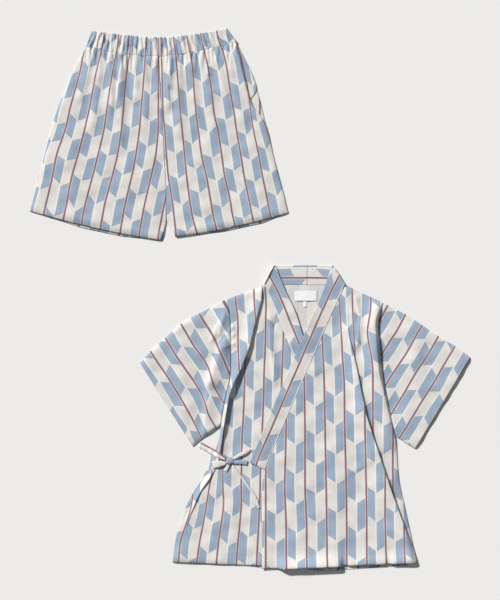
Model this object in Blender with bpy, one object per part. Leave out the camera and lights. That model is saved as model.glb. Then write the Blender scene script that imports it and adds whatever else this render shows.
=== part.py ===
"""A jinbei set, laid flat: a short-sleeved wrap top, closed left over right and tied at the wearer's right
side, and shorts with a gathered elastic waist. Sizes are in millimetres and are written to the meshes in
metres. The set lies on z = 0 and is seen from above: X runs to the right, Y towards the shorts' waist, and
left and right in names are the wearer's. Each piece of cloth is a closed wall, worked out from sections
across it, and its height over the surface comes from one table of folds for each garment."""

import bmesh
import bpy
import numpy as np

CLOTH = 1.2  # wall of one layer of cloth
FOLDED = 2.4  # wall of a strip sewn from folded cloth, such as the collar and the ties
SEAM = 0.3  # clear space between two pieces where they are sewn or lie on each other
SEAM_TILT = 0.9  # more space where two walls lean towards each other at a seam
SLACK = 0.5  # more space still where one front lies loosely on the other
LAYER = CLOTH + SEAM

COLLAR_SPREAD = 56  # how far the under collar lifts the over front, across from its seam
CASING_GATHERS = 30
TOP_LOFT = 2.6  # height of the cloth over the layer below it, away from folds
SHORTS_LOFT = 2.6
SIDE_ROLL = 14  # width over which a panel comes down to a seam at its side
FOLD_ROLL = 9  # the same at a folded edge of a tube

CREAM = (0.72, 0.70, 0.66)
BLUE = (0.34, 0.45, 0.62)
PRINT = (0.53, 0.57, 0.62)
PALE = (0.66, 0.65, 0.64)
LABEL_WHITE = (0.85, 0.85, 0.86)


def table(columns, rows):
    """A short table, whose columns are read by name."""
    return np.array(rows, dtype=[(name, float) for name in columns.split()])


# The under front. A row is a section from the side seam or armhole to the collar seam or front edge.
# seat is the share of the height that is left at the side, 0 where it comes down to the back.
RIGHT_FRONT = table(
    "side_x side_y front_x front_y seat",
    [
        (-59, 0, 33, 35, 0.0),
        (-47, -31, 52, -8, 0.5),
        (-45, -106, 86, -80, 0.5),
        (-46, -186, 118, -150, 0.5),
        (-62, -216, 140, -200, 0.5),
        (-68, -282, 172, -270, 0.5),
        (-76, -340, 194, -335, 0.3),
        (-92, -366, 207, -390, 0.1),
        (-96, -386, 202, -415, 0.1),
        (-115, -423, 194, -450, 0.1),
        (-138, -460, 188, -490, 0.2),
        (-160, -508, 183, -535, 0.2),
        (-174, -559, 180, -585, 0.2),
        (-182, -616, 179, -631, 0.3),
    ],
)

# The over front, its rows the other way round: from the collar seam or front edge to the armhole or side.
LEFT_FRONT = table(
    "front_x front_y side_x side_y seat",
    [
        (223, 35, 313, -7, 0.0),
        (195, -26, 301, -59, 0.5),
        (160, -106, 306, -129, 0.5),
        (128, -180, 312, -178, 0.5),
        (106, -231, 320, -223, 0.5),
        (70, -315, 333, -285, 0.5),
        (36, -397, 343, -330, 0.1),
        (28, -440, 348, -410, 0.1),
        (28, -500, 362, -482, 0.1),
        (28, -566, 377, -550, 0.1),
        (28, -631, 390, -617, 0.2),
    ],
)

# Sleeves: flattened tubes from the armhole to the cuff. A row is a place on the fold at the top and the
# one across from it on the seam below. ARMHOLE_ROWS is how far down the front's table the armhole reaches.
RIGHT_SLEEVE = table(
    "top_x top_y low_x low_y",
    [
        (-59, 0, -72, -297),
        (-96, -20, -84, -304),
        (-157, -53, -101, -317),
        (-195, -86, -113, -326),
        (-234, -121, -126, -336),
        (-258, -148, -135, -343),
    ],
)
LEFT_SLEEVE = table(
    "top_x top_y low_x low_y",
    [
        (313, -7, 343, -320),
        (365, -34, 354, -327),
        (439, -83, 369, -337),
        (483, -110, 379, -343),
        (517, -135, 387, -348),
    ],
)
RIGHT_ARMHOLE_ROWS = 5.25
LEFT_ARMHOLE_ROWS = 5.8

# The collar's halves, from the centre-back seam over the fold at the neck to the end on the front. turn is 0
# where the half lies behind the neck and 1 where it has turned over onto the front, and steps is how many
# sections follow before the next row.
LEFT_COLLAR = table(
    "seam_x seam_y free_x free_y turn steps",
    [
        (135.3, 35.4, 135.3, 82, 0.0, 4),
        (203, 35.4, 184, 81, 0.0, 1),
        (220.5, 35.4, 192.5, 80.4, 0.08, 1),
        (223, 37, 195, 82, 0.5, 1),
        (220.5, 35.4, 192.5, 80.4, 0.92, 1),
        (206, 0, 169, 15.6, 1.0, 3),
        (180, -58, 143, -42, 1.0, 6),
        (137, -157, 100.5, -141, 1.0, 7),
        (85, -278, 49, -262, 1.0, 7),
        (34.6, -398, -1, -381, 1.0, 0),
    ],
)
RIGHT_COLLAR = table(
    "seam_x seam_y free_x free_y turn steps",
    [
        (134.7, 35.4, 134.7, 82, 0.0, 4),
        (54, 35.4, 68, 81, 0.0, 1),
        (35.7, 35.6, 58.7, 80.6, 0.08, 1),
        (33, 37, 56, 82, 0.5, 1),
        (35.7, 35.6, 58.7, 80.6, 0.92, 1),
        (47.7, 4, 84.3, 20.2, 1.0, 3),
        (70, -44, 106.2, -27, 1.0, 4),
        (107.6, -125, 144, -108.4, 1.0, 4),
        (150.1, -220, 186.5, -203.4, 1.0, 5),
        (199.7, -355, 238.6, -346, 1.0, 0),
    ],
)

NECK = ((33, 35), (223, 35))
BACK_HEM = (
    (390, -619), (381, -623), (226, -633), (186, -637), (120, -633), (28, -629), (-59, -618), (-183, -613),
)

# Folds of the top: a ridge from one place to the other, or a trough where the height is below 0. The
# widths are to the left and to the right of that run, so a small one gives a steep side.
TOP_FOLDS = table(
    "from_x from_y to_x to_y height left right",
    [
        (14, 30, -22, -120, 6.0, 16, 26),
        (-22, -100, -60, -250, 6.5, 16, 26),
        (-60, -20, -40, -110, 3.0, 12, 16),
        (-52, -200, -74, -360, 4.0, 14, 14),
        (232, 30, 250, -110, 5.0, 16, 13),
        (226, -60, 268, -270, 3.2, 12, 30),
        (262, -240, 326, -440, 3.2, 12, 30),
        (318, -420, 378, -630, 3.0, 12, 30),
        (297, 0, 290, -120, 4.5, 14, 18),
        (288, -100, 332, -330, 4.5, 14, 18),
        (-86, -386, -150, -540, 7.0, 11, 11),
        (-66, -392, -100, -520, -2.6, 12, 12),
        (-40, -400, -40, -560, 2.2, 20, 20),
        (60, -620, 240, -630, 4.0, 26, 26),
        (-170, -600, -60, -628, 2.4, 20, 20),
        (-250, -150, -140, -330, 2.6, 20, 22),
        (-108, -60, -104, -320, 3.6, 24, 24),
        (-180, -90, -150, -260, 2.0, 22, 22),
        (508, -140, 384, -334, 3.0, 22, 20),
        (400, -60, 360, -300, 2.4, 24, 24),
        (460, -110, 384, -260, 1.8, 22, 22),
        (352, -350, 384, -600, 2.4, 12, 14),
    ],
)

# Ties at the wearer's right side, from the knot outwards. A row is a place on the strap's middle line, and
# lift is the height of its lower face over the cloth there.
SIDE_TIE_STRAP = table(
    "x y lift width",
    [(-56.4, -372.6, 3.2, 8), (-80, -360, 2.2, 13), (-104, -347, 1.2, 13), (-118, -340, 0.4, 13)],
)
TIE_LOOP = table(
    "x y lift width",
    [(-56.4, -382, 3.0, 7), (-66, -383, 3.4, 12), (-77, -384, 4.2, 16), (-88, -386, 1.4, 17)],
)
TIE_EAR = table(
    "x y lift width",
    [(-39.4, -372.2, 3.2, 6), (-24, -363, 3.8, 8), (-10, -356, 3.0, 9), (2, -350, 1.0, 4)],
)
FRONT_TIE_LEAD = table(
    "x y lift width",
    [(-38.4, -380.5, 2.6, 7.5), (-22, -379.5, 1.6, 10), (-6, -382, 1.0, 11)],
)
TIE_END = table("x y lift width", [(-50.6, -386.2, 2.6, 7), (-54, -394, 1.0, 8), (-58, -401, 0.5, 8)])
TIE_TAIL = table(
    "x y lift width",
    [
        (-41, -387, 1.4, 4),
        (-24, -409, 1.2, 4),
        (-14, -425, 0.9, 4),
        (2, -446, 0.7, 8),
        (13, -463, 0.6, 9),
        (20, -484, 0.5, 9),
    ],
)
KNOT = {"x": -47.5, "y": -377, "lift": 0.5, "length": 18, "width": 17, "height": 8}

NECK_LABEL = {"left": 105, "right": 157, "top": 21, "bottom": -2, "wall": 1.0}
SIZE_TAB = {"left": 125, "right": 133, "top": -2.4, "bottom": -16, "wall": 1.0}

# Shorts' leg fronts. A row is a section from the side to the centre seam or the inner leg.
SHORTS_RIGHT_FRONT = table(
    "side_x side_y inner_x inner_y seat",
    [
        (-384, 592, -213.6, 570, 0.8),
        (-408, 547, -211.5, 520, 0.8),
        (-429, 503, -208, 460, 0.8),
        (-458, 432, -204, 395, 0.0),
        (-475, 371, -200.5, 330, 0.0),
        (-489, 315, -197, 262, 0.0),
        (-500, 272, -196.6, 215, 0.0),
        (-505, 254, -196.6, 188, 0.0),
        (-517, 209, -209, 140, 0.2),
    ],
)
SHORTS_LEFT_FRONT = table(
    "side_x side_y inner_x inner_y seat",
    [
        (-31, 602, -213, 570, 0.8),
        (-16, 540, -211, 520, 0.8),
        (2, 468, -207.5, 460, 0.8),
        (38, 410, -203.5, 395, 0.0),
        (56, 335, -200, 330, 0.0),
        (74, 268, -196.4, 262, 0.0),
        (82, 238, -196, 215, 0.0),
        (84, 228, -195, 188, 0.0),
        (90, 205, -174, 148, 0.2),
    ],
)
# The legs' backs, from the waist seam's lower end down one side, along the hem and up the other.
SHORTS_RIGHT_BACK = (
    (-197, 262), (-196.4, 188), (-207, 137), (-303, 147), (-394, 166), (-518, 206), (-490, 315),
    (-459, 432), (-430, 503),
)
SHORTS_LEFT_BACK = (
    (9, 524), (26, 461), (56, 335), (75, 268), (91, 203), (33, 178), (-59, 158), (-125, 150),
    (-175, 146), (-194.6, 188), (-196, 262),
)
SHORTS_CENTRE = -213.2
SHORTS_HEM_HANG = 6  # how far the middle of a leg's lowest section hangs below its two ends

# Folds of the shorts, which fan out from the gathers at the waist.
SHORTS_FOLDS = table(
    "from_x from_y to_x to_y height left right",
    [
        (-366, 590, -400, 470, 3.4, 9, 11),
        (-346, 586, -372, 400, 3.2, 10, 13),
        (-322, 582, -326, 440, 4.6, 8, 12),
        (-296, 579, -306, 360, 3.2, 10, 14),
        (-270, 576, -266, 470, 3.0, 9, 11),
        (-244, 574, -246, 420, 3.0, 10, 12),
        (-222, 574, -216, 480, 3.2, 8, 11),
        (-196, 574, -190, 450, 4.6, 8, 12),
        (-170, 576, -166, 380, 3.2, 10, 13),
        (-142, 580, -126, 440, 3.0, 9, 11),
        (-112, 586, -84, 390, 3.4, 10, 13),
        (-84, 590, -48, 460, 3.0, 9, 12),
        (-56, 594, -14, 400, 3.2, 10, 13),
        (-430, 380, -400, 190, 2.2, 20, 22),
        (-290, 330, -300, 160, 2.2, 22, 24),
        (-120, 330, -100, 160, 2.2, 22, 24),
        (-20, 330, 10, 190, 2.2, 20, 22),
        (-500, 214, -220, 148, 1.8, 14, 14),
        (-170, 154, 84, 210, 2.4, 14, 14),
    ],
)

# The waistband, from the wearer's right to left: its top edge and the seam to the legs.
WAIST_TOP = table("x y", [(-371, 631), (-294, 622), (-213, 616), (-134, 623), (-54, 637)])
WAIST_SEAM = table("x y", [(-386, 595), (-315, 580), (-214, 572), (-82, 593), (-29, 605)])
WAIST_DEPTH = 5.0  # between the front and the back of the flattened band
GATHER_HEIGHT = 1.3
GATHER_CROWDING = table("waves turn share", [(3.3, 0, 0.35), (7.1, 1, 0.2)])  # waves along the whole band

# Facings that show in the pockets' mouths, between the front's edge and the side. A row is a section.
RIGHT_POCKET = table(
    "side_x side_y inner_x inner_y",
    [(-387, 590, -374, 587), (-408, 549, -393, 545), (-426, 513, -411, 508)],
)
LEFT_POCKET = table(
    "side_x side_y inner_x inner_y",
    [(-29, 600, -40, 597), (7, 526, -26, 526), (22, 474, -10, 474)],
)


def smooth(knots, at):
    """The value at each place along a row of knots: a cubic between two knots that never passes beyond them.
    At a knot its slope is the harmonic mean of the steps beside it, or none where they turn back."""
    knots = np.asarray(knots, float)
    step = np.diff(knots)
    before, after = step[:-1], step[1:]
    onward = before * after > 0
    mean = 2 * before * after / np.where(onward, before + after, 1)
    slope = np.concatenate([step[:1], np.where(onward, mean, 0), step[-1:]])
    first = np.clip(np.floor(at).astype(int), 0, len(knots) - 2)
    f = at - first
    rest = 1 - f
    value = knots[first] * rest**2 * (1 + 2 * f) + knots[first + 1] * f**2 * (1 + 2 * rest)
    return value + slope[first] * f * rest**2 - slope[first + 1] * f**2 * rest


def stations(rows, count):
    """Places along a table, evenly spaced by the mean length of its two edges."""
    xa, ya, xb, yb = (rows[name] for name in rows.dtype.names[:4])
    step = np.hypot(np.diff(xa), np.diff(ya)) + np.hypot(np.diff(xb), np.diff(yb))
    run = np.concatenate([[0], np.cumsum(step)])
    return np.interp(np.linspace(0, run[-1], count), run, np.arange(len(rows)))


def finer_ends(count):
    """Fractions from 0 to 1 that lie closer together at both ends."""
    even = np.linspace(0, 1, count)
    return even - 0.05 * np.sin(2 * np.pi * even)


def sections(rows, count, across):
    """A grid of points over a panel: each section runs straight from the table's first edge to its second."""
    at = stations(rows, count)[:, None]
    xa, ya, xb, yb = (smooth(rows[name], at) for name in rows.dtype.names[:4])
    return xa + (xb - xa) * across, ya + (yb - ya) * across, at


def ramp(value):
    """0 up to 0, 1 from 1 on, and a soft step between them."""
    inside = np.clip(value, 0, 1)
    return inside * inside * (3 - 2 * inside)


def fold_heights(x, y, folds):
    """The sum of the folds' heights: each is a bell across its line, and fades out at the line's ends."""
    total = np.zeros(np.broadcast(x, y).shape)
    for fold in folds:
        run_x = fold["to_x"] - fold["from_x"]
        run_y = fold["to_y"] - fold["from_y"]
        length = np.hypot(run_x, run_y)
        along = ((x - fold["from_x"]) * run_x + (y - fold["from_y"]) * run_y) / length**2
        across = ((y - fold["from_y"]) * run_x - (x - fold["from_x"]) * run_y) / length
        width = np.where(across > 0, fold["left"], fold["right"])
        ends = ramp(along * 4 + 0.6) * ramp((1 - along) * 4 + 0.6)
        total += fold["height"] * ends * np.exp(-((across / width) ** 2))
    return total


def top_height(x, y):
    """How high the top's cloth lies over the layer below it."""
    return np.maximum(TOP_LOFT + fold_heights(x, y, TOP_FOLDS), 0.6)


def shorts_height(x, y):
    return np.maximum(SHORTS_LOFT + fold_heights(x, y, SHORTS_FOLDS), 0.6)


def roll(distance, width, seat):
    """The share of the height that is left this far from an edge: seat at the edge, all of it past width."""
    inside = np.clip(distance / width, 0, 1)
    return seat + (1 - seat) * (1 - (1 - inside) ** 2)


def lift_over_under_layers(x, y):
    """The over front's extra height: it lies on the under front, and higher where the under collar is."""
    seam = np.interp(-y, -RIGHT_FRONT["front_y"], RIGHT_FRONT["front_x"])
    collar_reach = COLLAR_SPREAD * ramp((y + 420) / 50)
    on_front = 1 - ramp((x - seam - collar_reach - 16) / 26)
    on_collar = ramp((x - seam + 26) / 20) * on_front * ramp((y + 430) / 40)
    return (LAYER + SLACK) * on_front + (FOLDED - CLOTH) * on_collar


def cotton(name, colour):
    """Matte woven cotton in one colour."""
    material = bpy.data.materials.new(name)
    material.use_nodes = True
    shader = material.node_tree.nodes["Principled BSDF"]
    shader.inputs["Base Color"].default_value = (*colour, 1)
    shader.inputs["Roughness"].default_value = 0.85
    shader.inputs["Metallic"].default_value = 0.0
    return material


def add_piece(name, vertices, faces, colour):
    """One closed mesh, with its faces turned outwards."""
    mesh = bpy.data.meshes.new(name)
    mesh.from_pydata((np.asarray(vertices) * 0.001).tolist(), [], faces)
    shape = bmesh.new()
    shape.from_mesh(mesh)
    bmesh.ops.recalc_face_normals(shape, faces=shape.faces)
    shape.to_mesh(mesh)
    shape.free()
    mesh.shade_smooth()
    mesh.set_sharp_from_angle(angle=np.radians(50))
    mesh.materials.append(cotton(name, colour))
    piece = bpy.data.objects.new(name, mesh)
    bpy.context.scene.collection.objects.link(piece)
    return piece


def quads(index):
    """The four corners of every cell of a grid of vertex numbers."""
    return np.stack([index[:-1, :-1], index[1:, :-1], index[1:, 1:], index[:-1, 1:]], -1).reshape(-1, 4)


def add_wall(name, x, y, z, thickness, colour, ring=False):
    """A wall about a grid of points, half its thickness to each side along the surface's normal. In a ring
    the last column joins the first, and only the first and last rows have rims."""
    points = np.stack(np.broadcast_arrays(x, y, z), -1).astype(float)
    wrapped = np.concatenate([points[:, -1:], points, points[:, :1]], 1) if ring else points
    across = np.gradient(wrapped, axis=1)
    across = across[:, 1:-1] if ring else across
    normal = np.cross(np.gradient(points, axis=0), across)
    normal *= thickness / 2 / np.linalg.norm(normal, axis=-1, keepdims=True)
    count = points[..., 0].size
    index = np.arange(count).reshape(points.shape[:2])
    index = np.concatenate([index, index[:, :1]], 1) if ring else index
    edges = [index[:1], index[-1:]] + ([] if ring else [index[:, :1].T, index[:, -1:].T])
    rims = [quads(np.concatenate([edge, edge + count])) for edge in edges]
    vertices = np.concatenate([(points + normal).reshape(-1, 3), (points - normal).reshape(-1, 3)])
    faces = np.concatenate([quads(index), quads(index) + count, *rims]).tolist()
    return add_piece(name, vertices, faces, colour)


def add_flat(name, outline, low, high, colour):
    """A flat panel of this outline, between two heights."""
    count = len(outline)
    ring = np.arange(count)
    onward = (ring + 1) % count
    vertices = [(x, y, height) for height in (low, high) for x, y in outline]
    sides = np.stack([ring, onward, onward + count, ring + count], -1).tolist()
    return add_piece(name, vertices, [ring.tolist(), (ring + count).tolist(), *sides], colour)


def front_grid(rows, count, columns, side_first):
    """A front's points in plan, its stations, and how far each point lies from the side and the top edge."""
    across = finer_ends(columns)
    x, y, at = sections(rows, count, across)
    to_side = (across if side_first else 1 - across) * np.hypot(x[:, -1:] - x[:, :1], y[:, -1:] - y[:, :1])
    steps = np.hypot(np.diff(x, axis=0), np.diff(y, axis=0))
    to_top = np.concatenate([np.zeros((1, columns)), np.cumsum(steps, axis=0)])
    return x, y, at, to_side, to_top


def add_right_front():
    """The under front lies on the back, and comes down to it at the shoulder and the side."""
    x, y, at, to_side, to_top = front_grid(RIGHT_FRONT, 29, 22, True)
    seat = np.clip(smooth(RIGHT_FRONT["seat"], at), 0, 1)
    share = roll(to_side, SIDE_ROLL, seat) * roll(to_top, SIDE_ROLL, 0.2)
    z = LAYER + CLOTH / 2 + top_height(x, y) * share
    add_wall("right_front", x, y, z, CLOTH, PRINT)
    return np.stack([x, y], -1), at[:, 0]


def add_left_front():
    """The over front lies on the under front and its collar, and on the back beyond them."""
    x, y, at, to_side, to_top = front_grid(LEFT_FRONT, 30, 26, False)
    seat = np.clip(smooth(LEFT_FRONT["seat"], at), 0, 1)
    share = roll(to_side, SIDE_ROLL, seat) * roll(to_top, SIDE_ROLL, 0.2)
    z = LAYER + CLOTH / 2 + top_height(x, y) * share + lift_over_under_layers(x, y)
    add_wall("left_front", x, y, z, CLOTH, PRINT)
    return np.stack([x, y], -1), at[:, 0]


def add_back(right_side, left_side):
    """The back lies flat. Its sides are the fronts' sides, and its hem shows a little below theirs."""
    outline = [*NECK, *left_side[:-1].tolist(), *BACK_HEM, *right_side[:-1][::-1].tolist()]
    return add_flat("back", outline, 0, CLOTH, PALE)


def add_sleeve(name, rows, side, at, armhole_rows, outward):
    """A flattened tube between the armhole and the cuff, folded at the top and sewn below."""
    lowest = [np.interp(armhole_rows, at, side[:, axis]) for axis in (0, 1)]
    armhole = np.concatenate([side[at < armhole_rows], [lowest]])
    armhole[:, 0] += outward * SEAM_TILT
    run = np.concatenate([[0], np.cumsum(np.hypot(*np.diff(armhole, axis=0).T))])
    near_fold = np.array([0, 0.012, 0.035])
    front = np.unique(np.concatenate([run / run[-1], near_fold, 1 - near_fold]))
    behind = np.concatenate([[0.98], run[1:-1][::-1] / run[-1], [0.02]])
    around = np.concatenate([front, behind])
    t = stations(rows, 11)[:, None] / (len(rows) - 1)
    at_rows = t * (len(rows) - 1)
    top_x, top_y, low_x, low_y = (smooth(rows[name], at_rows) for name in rows.dtype.names)
    arm_x, arm_y = (np.interp(around, run / run[-1], armhole[:, i]) for i in (0, 1))
    top_x[0], top_y[0], low_x[0], low_y[0] = *armhole[0], *armhole[-1]
    chord_x = arm_x[0] + (low_x[0] - arm_x[0]) * around
    chord_y = arm_y[0] + (low_y[0] - arm_y[0]) * around
    fade = 1 - ramp(t)
    x = top_x + (low_x - top_x) * around + (arm_x - chord_x) * fade
    y = top_y + (low_y - top_y) * around + (arm_y - chord_y) * fade
    width = np.hypot(low_x - top_x, low_y - top_y)
    to_fold = np.minimum(around, 1 - around) * width
    to_armhole = t * np.abs(top_x[-1] - top_x[0])
    gap = LAYER + top_height(x, y) * roll(to_armhole, 20, 0.5)
    is_front = np.arange(len(around)) < len(front)
    upper = gap * roll(to_fold, FOLD_ROLL, 0.5)
    lower = 0.5 * gap * (1 - roll(to_fold, 5, 0))
    return add_wall(name, x, y, CLOTH / 2 + np.where(is_front, upper, lower), CLOTH, PRINT, ring=True)


def add_collar(name, rows, front_edge, aside, lies_on_top, colour):
    """Half of the collar: it lies flat behind the neck, turns over at the fold and follows the front's edge.
    The half that lies on top rises as its front does."""
    steps = rows["steps"].astype(int)[:-1]
    at = np.concatenate([k + np.arange(n) / n for k, n in enumerate(steps)] + [[len(rows) - 1]])[:, None]
    xa, ya, xb, yb, turn = (np.interp(at, np.arange(len(rows)), rows[name]) for name in rows.dtype.names[:5])
    seam_x = np.interp(-ya, -front_edge[:, 1], front_edge[:, 0]) + aside * SEAM_TILT
    xa = np.where(turn == 1, seam_x, xa)
    across = np.linspace(0, 1, 4)
    x = xa + (xb - xa) * across
    y = ya + (yb - ya) * across
    front = LAYER + top_height(x, y) + lift_over_under_layers(x, y) * lies_on_top
    return add_wall(name, x, y, FOLDED / 2 + turn * front, FOLDED, colour)


def rest_height(x, y):
    """How high the top's cloth reaches at the tied side, and beyond its edge down to the surface below."""
    side = np.interp(-y, -RIGHT_FRONT["side_y"], RIGHT_FRONT["side_x"])
    on_cloth = top_height(x, y) * roll(np.maximum(x - side, 0), SIDE_ROLL, 0.1)
    return (LAYER + CLOTH) * ramp((x - side) / 10 + 1.4) + on_cloth * (x > side)


def add_strap(name, rows, colour):
    """A narrow folded strip: a crowned section carried along the middle line, with closed ends."""
    at = np.linspace(0, len(rows) - 1, 3 * len(rows))
    x, y, lift, width = (smooth(rows[column], at) for column in rows.dtype.names)
    run_x, run_y = np.gradient(x), np.gradient(y)
    length = np.hypot(run_x, run_y)
    side = np.array([-0.5, 0.5, 0.44, 0.2, -0.2, -0.44])
    up = np.array([0.0, 0.0, 0.7, 1.0, 1.0, 0.7]) * FOLDED
    sx = x[:, None] - (run_y / length * width)[:, None] * side
    sy = y[:, None] + (run_x / length * width)[:, None] * side
    ground = rest_height(sx[:, :2], sy[:, :2]).max(axis=1, keepdims=True) + SEAM
    sz = ground + lift[:, None] + up
    points = np.stack([sx, sy, sz], -1)
    index = np.arange(sx.size).reshape(sx.shape)
    around = np.concatenate([index, index[:, :1]], 1)
    ends = [index[0].tolist(), index[-1].tolist()]
    return add_piece(name, points.reshape(-1, 3), quads(around).tolist() + ends, colour)


def add_knot():
    """The knot: a rounded wad of folded cloth."""
    ball = bmesh.new()
    bmesh.ops.create_uvsphere(ball, u_segments=16, v_segments=9, radius=1)
    corners = np.array([corner.co for corner in ball.verts])
    faces = [[corner.index for corner in face.verts] for face in ball.faces]
    ball.free()
    corners = np.sign(corners) * np.abs(corners) ** 0.8
    middle = rest_height(KNOT["x"], KNOT["y"]) + SEAM + KNOT["lift"] + KNOT["height"] / 2
    size = np.array([KNOT["length"], KNOT["width"], KNOT["height"]])
    return add_piece("tie_knot", corners * size / 2 + (KNOT["x"], KNOT["y"], middle), faces, BLUE)


def waist_seam(x):
    """The waist seam's place in Y."""
    at = np.linspace(0, len(WAIST_SEAM) - 1, 80)
    return np.interp(x, smooth(WAIST_SEAM["x"], at), smooth(WAIST_SEAM["y"], at))


def add_waistband():
    """The elastic casing: a flattened ring whose front stands in even, slightly crowded gathers."""
    front = np.linspace(0, 1, CASING_GATHERS * 4 + 1)
    around = np.concatenate([front, np.linspace(0.985, 0.015, 24)])
    down = np.array([0, 0.3, 0.7, 1])[:, None]
    top = [smooth(WAIST_TOP[axis], around * (len(WAIST_TOP) - 1)) for axis in "xy"]
    seam = [smooth(WAIST_SEAM[axis], around * (len(WAIST_SEAM) - 1)) for axis in "xy"]
    x = top[0] + (seam[0] - top[0]) * down
    y = top[1] + (seam[1] - top[1]) * down
    is_front = np.arange(len(around)) < len(front)
    turns = 2 * np.pi * around
    crowding = sum(wave["share"] * np.sin(wave["waves"] * turns + wave["turn"]) for wave in GATHER_CROWDING)
    wave = np.cos(CASING_GATHERS * turns + crowding) * np.array([0.7, 1, 1, 0.8])[:, None]
    to_fold = np.minimum(around, 1 - around) * np.ptp(top[0])
    upper = WAIST_DEPTH * roll(to_fold, FOLD_ROLL, 0.5) + GATHER_HEIGHT * wave * roll(to_fold, 6, 0)
    lower = 0.5 * WAIST_DEPTH * (1 - roll(to_fold, 5, 0))
    z = CLOTH / 2 + np.where(is_front, upper, lower)
    return add_wall("waistband", x, y, z, CLOTH, PRINT, ring=True)


def add_leg_front(name, rows):
    """Half of the shorts' front: it hangs from the waist seam and lies on the back."""
    across = finer_ends(15)
    x, y, at = sections(rows, 24, across)
    bow = across * (1 - across) * 4
    y = y - bow * SHORTS_HEM_HANG * ramp(at / (len(rows) - 1) * 3 - 2)
    y = y + (waist_seam(x[:1]) - SEAM_TILT - y[:1]) * (1 - ramp(at / 2))
    to_side = across * np.hypot(x[:, -1:] - x[:, :1], y[:, -1:] - y[:, :1])
    seat = np.clip(smooth(rows["seat"], at), 0, 1)
    z = LAYER + CLOTH / 2 + shorts_height(x, y) * roll(to_side, SIDE_ROLL, seat)
    return add_wall(name, x, y, z, CLOTH, PRINT)


def add_leg_back(name, waist_from, waist_to, outline):
    """Half of the shorts' back, flat, from just below the waist seam."""
    x = np.linspace(waist_from, waist_to, 9)
    waist = np.stack([x, waist_seam(x) - SEAM_TILT], -1).tolist()
    return add_flat(name, [*waist, *outline], 0, CLOTH, PALE)


def add_pocket(name, rows):
    """The facing in a pocket's mouth, on the back and under the front's edge."""
    x, y, _ = sections(rows, 7, np.linspace(0, 1, 3))
    return add_wall(name, x, y, np.full(x.shape, LAYER + CLOTH / 2), CLOTH, PRINT)


def add_label(name, size):
    sides = (("left", "bottom"), ("right", "bottom"), ("right", "top"), ("left", "top"))
    corners = [(size[side], size[end]) for side, end in sides]
    return add_flat(name, corners, LAYER, LAYER + size["wall"], LABEL_WHITE)


for old in list(bpy.data.objects):
    bpy.data.objects.remove(old)

right, right_at = add_right_front()
left, left_at = add_left_front()
add_back(right[:, 0], left[:, -1])
add_sleeve("right_sleeve", RIGHT_SLEEVE, right[:, 0], right_at, RIGHT_ARMHOLE_ROWS, -1)
add_sleeve("left_sleeve", LEFT_SLEEVE, left[:, -1], left_at, LEFT_ARMHOLE_ROWS, 1)
add_collar("right_collar", RIGHT_COLLAR, right[:, -1], 1, False, CREAM)
add_collar("left_collar", LEFT_COLLAR, left[:, 0], -1, True, BLUE)
add_label("neck_label", NECK_LABEL)
add_label("size_tab", SIZE_TAB)
add_knot()
add_strap("side_tie_strap", SIDE_TIE_STRAP, CREAM)
add_strap("tie_loop", TIE_LOOP, CREAM)
add_strap("tie_ear", TIE_EAR, CREAM)
add_strap("front_tie_lead", FRONT_TIE_LEAD, BLUE)
add_strap("tie_end", TIE_END, CREAM)
add_strap("tie_tail", TIE_TAIL, CREAM)

add_waistband()
add_leg_front("shorts_right_front", SHORTS_RIGHT_FRONT)
add_leg_front("shorts_left_front", SHORTS_LEFT_FRONT)
add_leg_back("shorts_right_back", -385, SHORTS_CENTRE - SEAM, SHORTS_RIGHT_BACK)
add_leg_back("shorts_left_back", SHORTS_CENTRE + SEAM, -30, SHORTS_LEFT_BACK)
add_pocket("right_pocket", RIGHT_POCKET)
add_pocket("left_pocket", LEFT_POCKET)
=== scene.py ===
"""A jinbei set laid flat: a short-sleeved wrap top, tied at the wearer's right side, and gathered shorts.

The set lies on z = 0 and is seen from above, X to the right and Y towards the shorts' waist. Left and right
in names are the wearer's. Tables hold millimetres, and MM turns them into metres."""

import bpy
import numpy as np
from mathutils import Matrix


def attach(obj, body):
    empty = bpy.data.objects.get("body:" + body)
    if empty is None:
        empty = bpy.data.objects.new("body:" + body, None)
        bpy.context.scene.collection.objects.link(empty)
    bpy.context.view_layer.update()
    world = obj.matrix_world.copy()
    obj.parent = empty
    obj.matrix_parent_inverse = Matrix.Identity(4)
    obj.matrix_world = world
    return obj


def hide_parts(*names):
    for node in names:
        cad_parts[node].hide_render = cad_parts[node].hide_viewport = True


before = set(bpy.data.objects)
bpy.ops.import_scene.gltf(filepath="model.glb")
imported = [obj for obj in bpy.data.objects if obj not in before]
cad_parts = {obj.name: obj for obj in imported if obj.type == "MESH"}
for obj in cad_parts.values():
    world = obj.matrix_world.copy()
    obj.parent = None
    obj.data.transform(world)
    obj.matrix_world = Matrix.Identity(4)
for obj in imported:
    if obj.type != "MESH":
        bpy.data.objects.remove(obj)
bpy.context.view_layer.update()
MM = 0.001

# The view: straight down on the set through a long lens, with the middle of the picture over the origin.
PICTURE_HEIGHT = 1410
SENSOR = 36
FOCAL_LENGTH = 85
lens = bpy.data.cameras.new("view_from_above")
lens.sensor_width = SENSOR
lens.lens = FOCAL_LENGTH
viewpoint = bpy.data.objects.new("view_from_above", lens)
viewpoint.location = (0, 0, PICTURE_HEIGHT * MM * FOCAL_LENGTH / SENSOR)
bpy.context.scene.collection.objects.link(viewpoint)
bpy.context.scene.camera = viewpoint

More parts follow.
